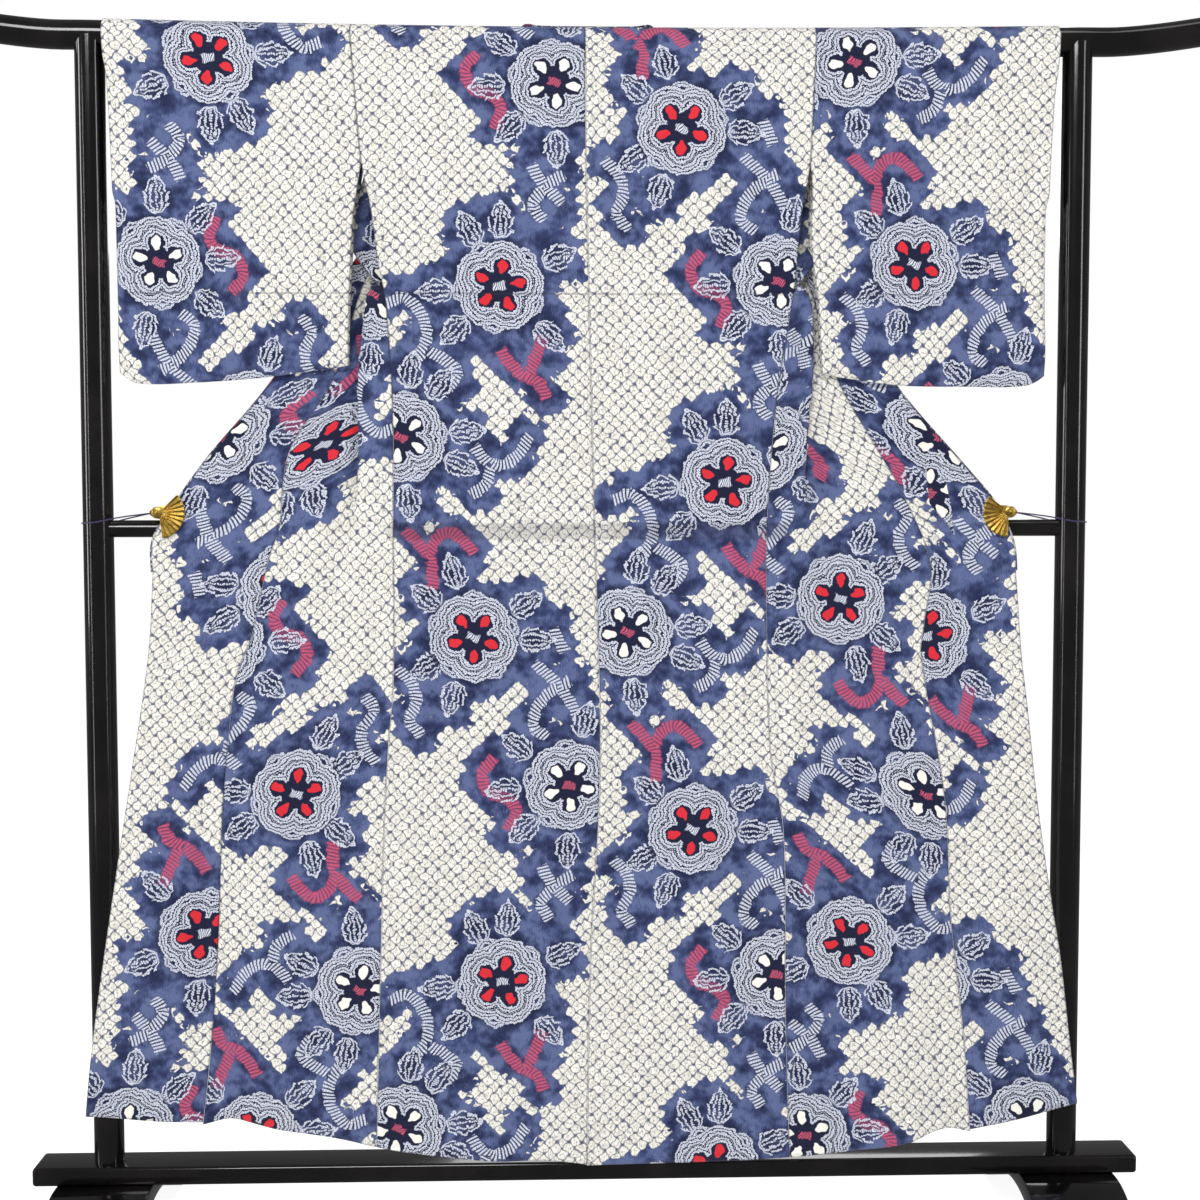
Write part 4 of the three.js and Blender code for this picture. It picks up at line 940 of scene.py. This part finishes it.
def cloth_material():
    """Tied and dyed cotton: diamonds of tied dots, dotted flowers, leaves and strokes."""
    material, tree, shader = new_material("shibori_cotton", Roughness=0.88, Sheen_Weight=0.12,
                                          Specular_IOR_Level=0.25)
    uv = tree.nodes.new("ShaderNodeUVMap")
    uv.uv_map = "bolt"
    u, v, _ = parts_of(tree, uv.outputs["UV"])
    u, v = u * 1000, v * 1000
    flat = vector_of(tree, u, v)
    shake = noise(tree, flat, 0.13, 0.0) - 0.5
    shake2 = noise(tree, vector_of(tree, v, u, 40.0), 0.13, 0.0) - 0.5
    field, slope_u, slope_v = attribute(tree, "ground")

    # diamonds of the tied ground
    half_root = math.sqrt(0.5) / CELL
    a = (u + v) * half_root + shake * 0.55
    b = (v - u) * half_root + shake2 * 0.55
    cell_a, cell_b = a.whole(), b.whole()
    in_a, in_b = a - cell_a - 0.5, b - cell_b - 0.5
    back_u = (in_b - in_a) * (CELL * math.sqrt(0.5))
    back_v = (in_a + in_b) * (-CELL * math.sqrt(0.5))
    chance = tree.nodes.new("ShaderNodeTexWhiteNoise")
    chance.noise_dimensions = "2D"
    tree.links.new(vector_of(tree, cell_a, cell_b), chance.inputs["Vector"])
    luck = Field(tree, chance.outputs["Value"])
    at_cell = field + slope_u * back_u + slope_v * back_v
    tied = (at_cell + luck * 7).step(3.4, 3.6) * field.step(-5.6, -4.8)
    corner = (in_a.power(2).power(2) + in_b.power(2).power(2)).root().root()
    blob = corner.step(0.49, 0.42)
    lean = (luck - 0.5) * 0.16
    eye = length2(in_a + lean, in_b * 1.3 - lean).step(0.035, 0.10)
    pleat = (in_a + in_b + lean).absolute().step(0.012, 0.045)
    pleat = 1 - (1 - pleat) * (in_a - in_b).absolute().step(0.34, 0.22) * 0.55
    pillow = 1 - (corner * 2).power(2)

    # blue ground, deeper away from the diamonds
    streak = noise(tree, vector_of(tree, u * 0.9, v * 0.25), 0.6, 1.0, 0.7)
    cloudy = noise(tree, flat, 0.03, 2.0, 0.7)
    deep = (field * -1 + (cloudy - 0.5) * 150).step(0, 42)
    ground = blended(tree, LIGHT_BLUE, MID_BLUE, (cloudy + streak * 0.4).step(0.56, 0.8))
    ground = blended(tree, ground, DEEP_BLUE, deep * (streak * 0.9 + 0.45))

    # flowers
    x, y, kind = attribute(tree, "flower")
    x, y = x + shake * 6, y + shake2 * 6
    r = length2(x, y)
    angle = calc(tree, "ARCTAN2", y, x)
    fifth = angle * (5 / TURN)
    turn = fifth - (fifth + 0.5).whole()
    swing = turn * (TURN / 5)
    petal_x = r * calc(tree, "COSINE", swing) - PETAL_OUT
    petal_y = r * calc(tree, "SINE", swing)
    petal = length2(petal_x / 9.8, petal_y / (petal_x * 0.19 + 6.2)).step(1.06, 0.92)
    lobe = length2(petal_x, petal_y)
    around = calc(tree, "ARCTAN2", petal_y, petal_x)
    outer = lobe.step(RING_SPLIT - 0.01, RING_SPLIT + 0.01) * RING_SHIFT
    number = most(least(((lobe - outer - RING_FIRST) / RING_STEP + 0.5).whole(), 4.0), 0.0)
    ring = number * RING_STEP + RING_FIRST + outer
    flower = chain(around * ring, lobe - ring, DOT_HALF, DOT_PITCH) * r.step(20, 22)
    apart = math.pi / 5 - swing.absolute()
    bud_x = r * calc(tree, "COSINE", apart) - BUD_OUT
    bud_y = r * calc(tree, "SINE", apart)
    bud = length2(bud_x, bud_y)
    bud_way = calc(tree, "ARCTAN2", bud_y, bud_x)
    ring = bud.step(16.24, 16.26) * BUD_STEP + BUD_FIRST
    buds = chain(bud_way * ring, bud - ring, DOT_HALF, DOT_PITCH) * lobe.step(36, 37)
    flower = most(flower, buds)
    on_flower = r.step(72, 60)
    heart = most(x.absolute() - 8.5, y.absolute() - 5.2).step(0.8, -0.8)
    hatch = ((x + y * 0.3) / 2.9).part().step(0.3, 0.42)
    red = kind.step(1.6, 1.4)

    # leaves
    along, beside, from_edge = attribute(tree, "leaf")
    along, beside = along + shake2 * 7, (beside + shake * 7).absolute()
    t = (along + LEAF_HALF) / (2 * LEAF_HALF)
    teeth = (t * LEAF_TEETH + 0.1).part() * TOOTH + 0.82
    inside = most(t, 0.0).power(0.6) * (1 - t) * LEAF_WIDTH * teeth
    present = t.step(-0.02, 0.02) * t.step(1.04, 0.99)
    leaf = most(chain(along * 1.15, beside - inside, 2.0, 3.9),
                chain(along + beside, beside - inside * 0.5, 1.8, 3.8) * t.step(0.82, 0.7))
    leaf = most(leaf, chain(along, beside - 0.5, 1.5, 3.8))
    leaf = leaf * present * (1 - on_flower * r.step(66, 62))
    on_leaf = (beside - inside).step(4.0, 0.5) * present

    # strokes
    gone, aside, full = attribute(tree, "stroke")
    pink = full.step(0.5, -0.5)
    aside = aside + shake * 6
    span = gone.step(-1.0, 0.5) * (full.absolute() - gone).step(-1.0, 0.5)
    beat = ((gone + aside * 0.25) / BAR_PITCH).part() - 0.5
    bar = beat.absolute().step(0.36, 0.20) * aside.absolute().step(BAR_HALF, 7.0)
    knots = (aside / 3.1).part().step(0.08, 0.35)
    stroke = bar * (knots * 0.6 + 0.4) * span
    on_stroke = aside.absolute().step(10.5, 6.5) * span

    # colours, one over another
    off_flower = 1 - on_flower
    bare_stroke = stroke * off_flower * (1 - on_leaf)
    halo = most(most(on_flower * 0.6, on_leaf * 0.5), on_stroke * (1 - pink) * 0.3)
    ground = blended(tree, ground, NAVY, halo)
    ground = blended(tree, ground, NAVY, lobe.step(37, 33) * 0.9)
    ground = blended(tree, ground, PINK_GROUND, on_stroke * pink * 0.7 * off_flower)
    lines = most(most(flower * on_flower, leaf), bare_stroke * (1 - pink))
    whites = blended(tree, ground, STITCH_WHITE, lines)
    whites = blended(tree, whites, PINK_DYE, bare_stroke * pink)
    dye = blended(tree, CREAM, RED_DYE, red)
    whites = blended(tree, whites, dye, petal * r.step(41, 38))
    heart_dye = blended(tree, PINK_DYE, STITCH_WHITE, red)
    whites = blended(tree, whites, heart_dye, heart * hatch)

    knot = least(in_a.absolute(), in_b.absolute()).step(0.40, 0.47)
    between = blended(tree, LINE_BLUE, NODE_BLUE, knot)
    cream_and_crinkle_shadow = blended(tree, CREAM, CREAM_SHADE, luck * 0.5)
    # painted shade: grey of the crinkles laid over the cream's random tone by a streaky noise
    cream_and_crinkle_shadow = blended(tree, cream_and_crinkle_shadow, CRINKLE_SHADOW_GREY, streak.step(0.50, 0.66) * 0.6)
    spotted = blended(tree, EYE_GREY, cream_and_crinkle_shadow, least(eye, pleat))
    diamonds = blended(tree, between, spotted, blob)
    surface = blended(tree, whites, diamonds, tied * (1 - most(on_flower, on_leaf)))

    # painted shade along the edges of the pieces and in the tuck's crease, and a painted shade
    # band where the rail stands behind the thin cloth
    world_x, world_y, world_z = parts_of(tree, object_place(tree))
    tuck = (world_z - TUCK_Z).absolute().step(0.0022, 0.0006) * world_y.step(-0.0195, -0.021)
    painted_seam_shade = most(from_edge.step(1.9, 0.5), tuck * 0.8)
    # the pieces' edges and the tuck line are darkened with painted shade
    surface = blended(tree, surface, PAINTED_SEAM_SHADOW, painted_seam_shade * 0.45)
    # painted shade: a dark band on the cloth where the middle rail stands behind it
    painted_rail_shade = ((world_z - RAIL_BEHIND_Z).absolute().step(0.014, 0.009)
            * world_x.absolute().step(0.285, 0.27))
    surface = blended(tree, surface, PAINTED_RAIL_SHADOW, painted_rail_shade * 0.3)
    tree.links.new(surface, shader.inputs["Base Color"])

    crinkle = noise(tree, vector_of(tree, u * 0.4, v), 0.14, 1.0, 0.75)
    height = tied * blob * pillow * 0.9 + crinkle * 2.6 + from_edge.step(11, 8.5) * 0.7
    bump(tree, shader, height, 0.0016, 0.9)
    return material


def lacquer_material():
    """Black lacquer, with the faint unevenness and dust of a polished coat."""
    material, tree, shader = new_material(
        "black_lacquer", Roughness=0.1, Coat_Weight=0.35, Coat_Roughness=0.04,
        Specular_IOR_Level=0.45)
    place = object_place(tree)
    cloudy = noise(tree, place, 9.0, 3.0, 0.6)
    dust = noise(tree, place, 900.0, 1.0)
    base = blended(tree, colour(9, 8, 9), colour(24, 20, 20), cloudy.step(0.4, 0.75))
    base = blended(tree, base, colour(90, 86, 84), dust.step(0.74, 0.8) * 0.35)
    tree.links.new(base, shader.inputs["Base Color"])
    rough = cloudy * 0.10 + 0.08
    tree.links.new(rough.socket, shader.inputs["Roughness"])
    bump(tree, shader, noise(tree, place, 30.0, 2.0), 0.0004, 0.25)
    return material


def gilt_material(name, light, dark):
    material, tree, shader = new_material(name, Metallic=1.0, Roughness=0.28)
    place = object_place(tree)
    cloudy = noise(tree, place, 160.0, 4.0, 0.6)
    grain = noise(tree, place, 2600.0, 2.0, 0.6)
    tree.links.new(blended(tree, light, dark, cloudy.step(0.42, 0.7)), shader.inputs["Base Color"])
    tree.links.new((grain * 0.2 + 0.2).socket, shader.inputs["Roughness"])
    bump(tree, shader, grain, 0.0002, 0.5)
    return material


def cord_material():
    material, tree, shader = new_material("purple_cord", Roughness=0.8, Sheen_Weight=0.3)
    place = object_place(tree)
    x, y, z = parts_of(tree, place)
    twist = ((x + y + z) * 520).part()
    ply = (twist - 0.5).absolute()
    fuzz = noise(tree, place, 3000.0, 2.0)
    # painted shade: the grooves between the plies are darker; the lighter fuzz is the cord's own
    # fibres
    tone = blended(tree, colour(58, 38, 92), colour(22, 14, 40), ply.step(0.2, 0.46))
    tone = blended(tree, tone, colour(92, 74, 128), fuzz.step(0.6, 0.8) * 0.6)
    tree.links.new(tone, shader.inputs["Base Color"])
    bump(tree, shader, ply * -1, 0.0006, 0.8)
    return material


def floor_material():
    material, tree, shader = new_material("pale_floor", Roughness=0.8)
    place = object_place(tree)
    cloudy = noise(tree, place, 1.5, 3.0)
    tree.links.new(blended(tree, (0.34, 0.34, 0.34), (0.37, 0.37, 0.37), cloudy),
                   shader.inputs["Base Color"])
    shader.inputs["Emission Color"].default_value = (1, 1, 1, 1)
    shader.inputs["Emission Strength"].default_value = 0.93
    return material


# --- Camera, light and floor ------------------------------------------------------------

@contextmanager
def edited(data):
    """A mesh opened for edits, written back when they are done."""
    mesh = bmesh.new()
    mesh.from_mesh(data)
    yield mesh
    mesh.to_mesh(data)
    mesh.free()


def staged(name, material):
    """An empty piece of the stage, not of the part."""
    thing = bpy.data.objects.new(name, bpy.data.meshes.new(name))
    thing.data.materials.append(material)
    bpy.context.scene.collection.objects.link(thing)
    return thing


def add_camera():
    """The photo's camera, worked out from the straight edges of the stand."""
    camera = bpy.data.cameras.new("camera")
    camera.lens = 48.55
    camera.sensor_width = 36
    holder = bpy.data.objects.new("camera", camera)
    bpy.context.scene.collection.objects.link(holder)
    holder.location = (-0.0491, -2.2567, 1.0202)
    holder.rotation_euler = (math.radians(90 - 3.157), math.radians(0.056), math.radians(-1.656))
    bpy.context.scene.camera = holder


def add_light(name, place, aim, width, height, power, tone=(1, 1, 1)):
    light = bpy.data.lights.new(name, "AREA")
    light.shape = "RECTANGLE"
    light.size, light.size_y, light.energy, light.color = width, height, power, tone
    holder = bpy.data.objects.new(name, light)
    bpy.context.scene.collection.objects.link(holder)
    holder.location = place
    way = Vector(aim) - Vector(place)
    holder.rotation_euler = way.to_track_quat("-Z", "Y").to_euler()


def add_studio():
    # name, place, aim, width, height and power
    add_light("front_high", (-1.2, -4.2, 3.6), (0, 0, 0.9), 1.9, 1.5, 112)
    add_light("front_right", (3.4, -3.0, 2.2), (0, 0, 0.9), 0.5, 2.4, 22)
    add_light("side_left", (-3.8, -0.8, 1.8), (0, 0, 0.9), 0.5, 2.4, 30)
    add_light("strip_left", (-3.0, -2.0, 1.2), (-0.6, 0, 1.1), 0.1, 2.4, 9)
    add_light("strip_right", (3.2, -2.4, 1.2), (0.6, 0, 1.1), 0.1, 2.4, 7)
    add_light("top", (0.2, -0.6, 4.4), (0, 0, 0.9), 2.5, 2.0, 34)
    add_light("back", (0.6, 3.6, 2.8), (0, 0, 0.9), 2.4, 1.8, 44)
    world = bpy.data.worlds.new("studio")
    bpy.context.scene.world = world
    world.use_nodes = True
    ground = world.node_tree.nodes["Background"]
    ground.inputs["Color"].default_value = (1, 1, 1, 1)
    ground.inputs["Strength"].default_value = 0.17
    bpy.context.scene.view_settings.view_transform = "Standard"


def add_floor():
    floor = staged("floor", floor_material())
    with edited(floor.data) as mesh:
        bmesh.ops.create_circle(mesh, cap_ends=True, radius=14, segments=96)
    floor.location.z = -0.0005
    floor.visible_glossy = False


def add_backdrop():
    """A white dome that only the camera sees, so that the lacquer keeps its dark tone."""
    material, _, shader = new_material("backdrop_white", Roughness=1.0)
    shader.inputs["Base Color"].default_value = (0, 0, 0, 1)
    shader.inputs["Specular IOR Level"].default_value = 0
    shader.inputs["Emission Color"].default_value = (1, 1, 1, 1)
    shader.inputs["Emission Strength"].default_value = 1.0
    dome = staged("backdrop", material)
    with edited(dome.data) as mesh:
        bmesh.ops.create_uvsphere(mesh, u_segments=64, v_segments=32, radius=13.5)
    dome.visible_diffuse = dome.visible_glossy = dome.visible_shadow = False
    dome.visible_transmission = False


# --- Stand and clips --------------------------------------------------------------------

def ring_tube(name, axis, radii, sides, material):
    """A closed round bar through the axis points, with a radius at each."""
    axis = np.asarray(axis, float)
    way = np.gradient(axis, axis=0)
    way /= np.linalg.norm(way, axis=1)[:, None]
    hint = np.array([0, 0, 1.0]) if abs(way[0][2]) < 0.9 else np.array([0, 1.0, 0])
    side_way = np.cross(way, hint)
    side_way /= np.linalg.norm(side_way, axis=1)[:, None]
    other = np.cross(side_way, way)
    angle = np.linspace(0, TURN, sides, endpoint=False)
    ring = (side_way[:, None] * np.cos(angle)[None, :, None]
            + other[:, None] * np.sin(angle)[None, :, None])
    vertices = (axis[:, None] + ring * np.asarray(radii, float)[:, None, None]).reshape(-1, 3)
    faces = []
    for s in range(len(axis) - 1):
        for k in range(sides):
            a, b = s * sides + k, s * sides + (k + 1) % sides
            faces.append((a, b, b + sides, a + sides))
    first = list(range(sides))
    last = [(len(axis) - 1) * sides + k for k in range(sides)]
    faces += [tuple(first[::-1]), tuple(last)]
    thing = new_object(name, vertices * MM, faces, material)
    fix_normals(thing)
    return thing


def fix_normals(thing):
    with edited(thing.data) as mesh:
        bmesh.ops.recalc_face_normals(mesh, faces=mesh.faces)


def rounded(thing, width, segments):
    """Round the sharp edges of a mesh."""
    with edited(thing.data) as mesh:
        bmesh.ops.recalc_face_normals(mesh, faces=mesh.faces)
        sharp = [e for e in mesh.edges if len(e.link_faces) == 2 and e.calc_face_angle() > 0.7]
        bmesh.ops.bevel(mesh, geom=sharp, offset=width * MM, segments=segments, profile=0.5,
                        affect="EDGES", clamp_overlap=True)
    thing.data.polygons.foreach_set("use_smooth", np.ones(len(thing.data.polygons), bool))


def extruded(name, outline, from_x, to_x, material):
    """A bar along X with an outline in Y and Z."""
    count = len(outline)
    vertices = [(x, y, z) for x in (from_x, to_x) for y, z in outline]
    faces = [tuple(range(count))[::-1], tuple(range(count, 2 * count))]
    faces += [(k, (k + 1) % count, (k + 1) % count + count, k + count) for k in range(count)]
    return new_object(name, np.array(vertices) * MM, faces, material)


def bezier(a, b, c, d, steps):
    t = np.linspace(0, 1, steps + 1)[:, None]
    a, b, c, d = (np.array(p, float) for p in (a, b, c, d))
    return (1 - t) ** 3 * a + 3 * (1 - t) ** 2 * t * b + 3 * (1 - t) * t**2 * c + t**3 * d


def build_stand(lacquer):
    made = {}
    x = np.concatenate([[-RAIL_HALF, -RAIL_HALF + 0.8, -RAIL_HALF + 2.5, -RAIL_HALF + 6],
                        np.linspace(-RAIL_HALF + 14, RAIL_HALF - 14, 120),
                        [RAIL_HALF - 6, RAIL_HALF - 2.5, RAIL_HALF - 0.8, RAIL_HALF]])
    deep = np.minimum(RAIL_HALF - np.abs(x), 6) / 6
    radius = RAIL_R * (0.6 + 0.4 * np.sqrt(1 - (1 - deep) ** 2))
    axis = np.stack([x, 0 * x, rail_axis(x)], axis=1)
    sides, shares = 64, (0, 0.02, 0.25, 0.5, 0.75, 0.99, 1.0)
    made["stand_top_rail"] = ring_tube("lacquer_top_rail", axis, radius, sides, lacquer)

    for side in ("left", "right"):
        angle = np.linspace(0, TURN, sides, endpoint=False)
        px = SIGN[side] * POST_X + POST_R * np.cos(angle)
        py = POST_R * np.sin(angle)
        under = np.sqrt(np.maximum(0, (RAIL_R + GAP) ** 2 - np.minimum(np.abs(py), RAIL_R) ** 2))
        top = rail_axis(px) - under
        rows = [np.stack([px, py, mix(PLANK_TOP + GAP, top, share)], axis=1)
                for share in shares]
        middle = [[SIGN[side] * POST_X, 0, PLANK_TOP + GAP],
                  [SIGN[side] * POST_X, 0, rail_axis(POST_X) - RAIL_R - GAP]]
        vertices = np.vstack([*rows, middle])
        last = len(shares) - 1
        foot, head = len(shares) * sides, len(shares) * sides + 1
        ring = [(k, (k + 1) % sides) for k in range(sides)]
        faces = [(r * sides + k, r * sides + after, (r + 1) * sides + after, (r + 1) * sides + k)
                 for r in range(last) for k, after in ring]
        faces += [(after, k, foot) for k, after in ring]
        faces += [(last * sides + k, last * sides + after, head) for k, after in ring]
        post = new_object(f"lacquer_post_{side}", vertices * MM, faces, lacquer)
        fix_normals(post)
        mark_sharp(post)
        made[f"stand_post_{side}"] = post

    reach = POST_X - POST_R - GAP
    x = np.linspace(-reach, reach, 60)
    axis = np.stack([x, 0 * x, np.full(60, float(MID_RAIL_Z))], axis=1)
    bar = ring_tube("lacquer_mid_rail", axis, np.full(60, MID_RAIL_R), 40, lacquer)
    for vertex in bar.data.vertices:
        if abs(vertex.co.x) > (reach - 1) * MM:
            hollow = math.sqrt((POST_R + GAP) ** 2 - (vertex.co.y / MM) ** 2)
            vertex.co.x = math.copysign((POST_X - hollow) * MM, vertex.co.x)
    mark_sharp(bar)
    made["stand_mid_rail"] = bar

    y, z0, z1 = PLANK_DEPTH / 2, PLANK_TOP - PLANK_HEIGHT, PLANK_TOP
    plank = extruded("lacquer_plank", [(-y, z0), (y, z0), (y, z1), (-y, z1)],
                     -PLANK_HALF, PLANK_HALF, lacquer)
    rounded(plank, 5, 5)
    mark_sharp(plank)
    made["stand_plank"] = plank

    top = PLANK_TOP - PLANK_HEIGHT - GAP
    flat, inner, under = PLANK_DEPTH / 2 + 8, FOOT_HALF - FOOT_PAD, top - FOOT_THICK
    parts = [[(-FOOT_HALF, 0)],
             bezier((-inner, 0), (-inner + 44, 6), (-80, under), (0, under), 20),
             bezier((0, under), (80, under), (inner - 44, 6), (inner, 0), 20)[1:],
             [(FOOT_HALF, 0)],
             bezier((FOOT_HALF, FOOT_TIP), (FOOT_HALF - 70, FOOT_THICK), (flat + 60, top),
                    (flat, top), 20),
             bezier((-flat, top), (-flat - 60, top), (-FOOT_HALF + 70, FOOT_THICK),
                    (-FOOT_HALF, FOOT_TIP), 20)]
    outline = np.vstack([np.asarray(p, float) for p in parts])
    for side in ("left", "right"):
        centre = SIGN[side] * POST_X
        foot = extruded(f"lacquer_foot_{side}", outline, centre - FOOT_WIDTH / 2,
                        centre + FOOT_WIDTH / 2, lacquer)
        rounded(foot, 1.8, 3)
        mark_sharp(foot)
        made[f"stand_foot_{side}"] = foot
    return made


def mark_sharp(thing, angle=0.9):
    """Keep the sharp edges of a smooth mesh sharp."""
    with edited(thing.data) as mesh:
        for edge in mesh.edges:
            if len(edge.link_faces) == 2 and edge.calc_face_angle() > angle:
                edge.smooth = False


def fan_mesh(name, side, gold):
    """A little pleated fan, its round hinge through the cloth and its jaw behind."""
    clip = CLIP[side]
    front = DEPTHS.at("wing", clip["z"] - FAN_R) - CLOTH / 2 - FAN_PLEAT - 1 - 0.5
    rows, pleats = 14, FAN_RIBS * 6
    vertices, faces = [], []
    for layer in (-0.5, 0.5):
        for i in range(rows + 1):
            radius = mix(4, FAN_R, i / rows)
            height = FAN_PLEAT * fade(4, 15, radius)
            for k in range(pleats + 1):
                share = k / pleats
                angle = math.radians(clip["turn"] + FAN_SPREAD * (share - 0.5))
                beat = abs((share * FAN_RIBS) % 1 - 0.5) * 4 - 1
                edge = radius - 0.9 * (beat < 0) * (i == rows) * -beat
                vertices.append((SIGN[side] * (clip["x"] - edge * math.cos(angle)),
                                 front - beat * height + layer * FAN_THICK,
                                 clip["z"] + edge * math.sin(angle)))
    wide = pleats + 1
    layer = (rows + 1) * wide
    for i in range(rows):
        for k in range(pleats):
            a = i * wide + k
            faces += [(a, a + 1, a + 1 + wide, a + wide),
                      (a + layer, a + wide + layer, a + 1 + wide + layer, a + 1 + layer)]
    for i in range(rows):
        for k in (0, pleats):
            a = i * wide + k
            faces.append((a, a + wide, a + wide + layer, a + layer))
    for i in (0, rows):
        for k in range(pleats):
            a = i * wide + k
            faces.append((a, a + 1, a + 1 + layer, a + layer))
    fan = new_object(name, np.array(vertices) * MM, faces, gold)
    fix_normals(fan)

    back = (DEPTHS.at("wing", clip["z"]) + CLOTH / 2 + COLLAR_CLEAR + COLLAR_THICK
            + COLLAR_FREE + 0.5)
    middle = SIGN[side] * (clip["x"] + 3)
    depth = [front - 1.6, front - 1.5, front - 1.0, front - 0.2, 0.0, back]
    axis = [(middle, y, clip["z"]) for y in depth]
    hub = ring_tube(f"{name}_hub", axis, [1.0, 5.5, 7.2, HINGE_R, HINGE_R, HINGE_R], 48, gold)
    pin_y = [front - 3.4, front - 3.2, front - 2.6, front - 1.4]
    pin = ring_tube(f"{name}_pin", [(middle, y, clip["z"]) for y in pin_y],
                    [0.6, 1.8, 2.4, 2.6], 24, gold)
    jaw_y = [back, back + 0.3, back + 1.6, back + 1.9]
    jaw = ring_tube(f"{name}_jaw", [(0, y, 0) for y in jaw_y], [7.4, 8, 8, 7.4], 40, gold)
    for vertex in jaw.data.vertices:
        vertex.co.x = vertex.co.x * 3 + SIGN[side] * (clip["x"] - HINGE_R) * MM
        vertex.co.z = vertex.co.z * 1.2 + clip["z"] * MM
    for part in (hub, pin, jaw):
        mark_sharp(part)
    return joined([fan, hub, pin, jaw], name)


def joined(parts, name):
    """One object of several meshes of the same material."""
    mesh = bmesh.new()
    for part in parts:
        mesh.from_mesh(part.data)
        old = part.data
        if part is not parts[0]:
            bpy.data.objects.remove(part)
            bpy.data.meshes.remove(old)
    mesh.to_mesh(parts[0].data)
    mesh.free()
    parts[0].name = name
    return parts[0]


def cord_mesh(side, material):
    """The short cord from a clip round its post, with its tied end."""
    clip = CLIP[side]
    start = clip["x"] + CORD_START
    reach = POST_R + CORD_R + CORD_CLEAR
    stops = [(start, -15, clip["z"] - 1), (mix(start, POST_X, 0.5), -20.5, clip["z"] - 6)]
    for k in range(9):
        angle = math.radians(-90 + 180 * k / 8)
        stops.append((POST_X + reach * math.cos(angle), reach * math.sin(angle),
                      mix(clip["z"] - 13, clip["z"] - 16, k / 8)))
    stops += [(mix(start, POST_X, 0.5), 15, clip["z"] - 8), (start, -9, clip["z"] - 1)]
    line = smooth_curve([np.array([SIGN[side] * x, y, z], float) for x, y, z in stops], 160)
    radii = np.full(len(line), CORD_R * 0.96)
    return ring_tube(f"clip_cord_piece_{side}", line, radii, 12, material)


# --- Scene ------------------------------------------------------------------------------

cotton = cloth_material()
lacquer = lacquer_material()
gold = gilt_material("gilt_metal", colour(226, 190, 98), colour(172, 128, 46))
cord = cord_material()

# where each piece is cut from the bolt: from its own flat millimetres to the bolt's
BOLT = {
    "body_left": lambda p: np.stack([297 - p[:, 0], p[:, 1] - 98], axis=1),
    "body_right": lambda p: np.stack([p[:, 0] - 6, p[:, 1] - 366], axis=1),
    "okumi_left": lambda p: np.stack([155 + p[:, 0], 1540 - p[:, 1]], axis=1),
    "okumi_right": lambda p: np.stack([170 + p[:, 0], p[:, 1] - 580], axis=1),
    "sleeve_left": lambda p: np.stack([p[:, 0] - 20, 341 - p[:, 1]], axis=1),
    "sleeve_right": lambda p: np.stack([p[:, 0] - 18, p[:, 1] + 418], axis=1),
    "collar": lambda p: np.stack([p[:, 0] + 190, p[:, 1] + 60], axis=1),
}


def cloth_pieces():
    pieces = {"collar": collar_grid()}
    for side in ("left", "right"):
        pieces[f"body_{side}"] = body_grid(side)
        pieces[f"okumi_{side}"] = okumi_grid(side)
        pieces[f"sleeve_{side}"] = sleeve_grid(side)
    made = {}
    for name, (grid, flat) in pieces.items():
        thick = COLLAR_THICK if name == "collar" else SHELL
        made[name] = shell(name, grid, flat, thick, BOLT[name], cotton)
    return made


def main():
    add_camera()
    add_studio()
    add_floor()
    add_backdrop()
    cloths = cloth_pieces()
    stand = build_stand(lacquer)
    clips = {f"fan_clip_{side}": fan_mesh(f"gilt_fan_{side}", side, gold) for side in SIGN}
    cords = {f"clip_cord_{side}": cord_mesh(side, cord) for side in SIGN}
    for group, slot in ((cloths, "cotton"), (stand, "lacquer"), (clips, "gilt_metal"),
                        (cords, "cord")):
        for node, piece in group.items():
            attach(piece, "root")
            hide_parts(node)
    for node, piece in cloths.items():
        kind = node.split("_")[0]
        rests = ["fan_clip_left", "fan_clip_right"] if kind == "collar" else ["stand_top_rail"]


main()
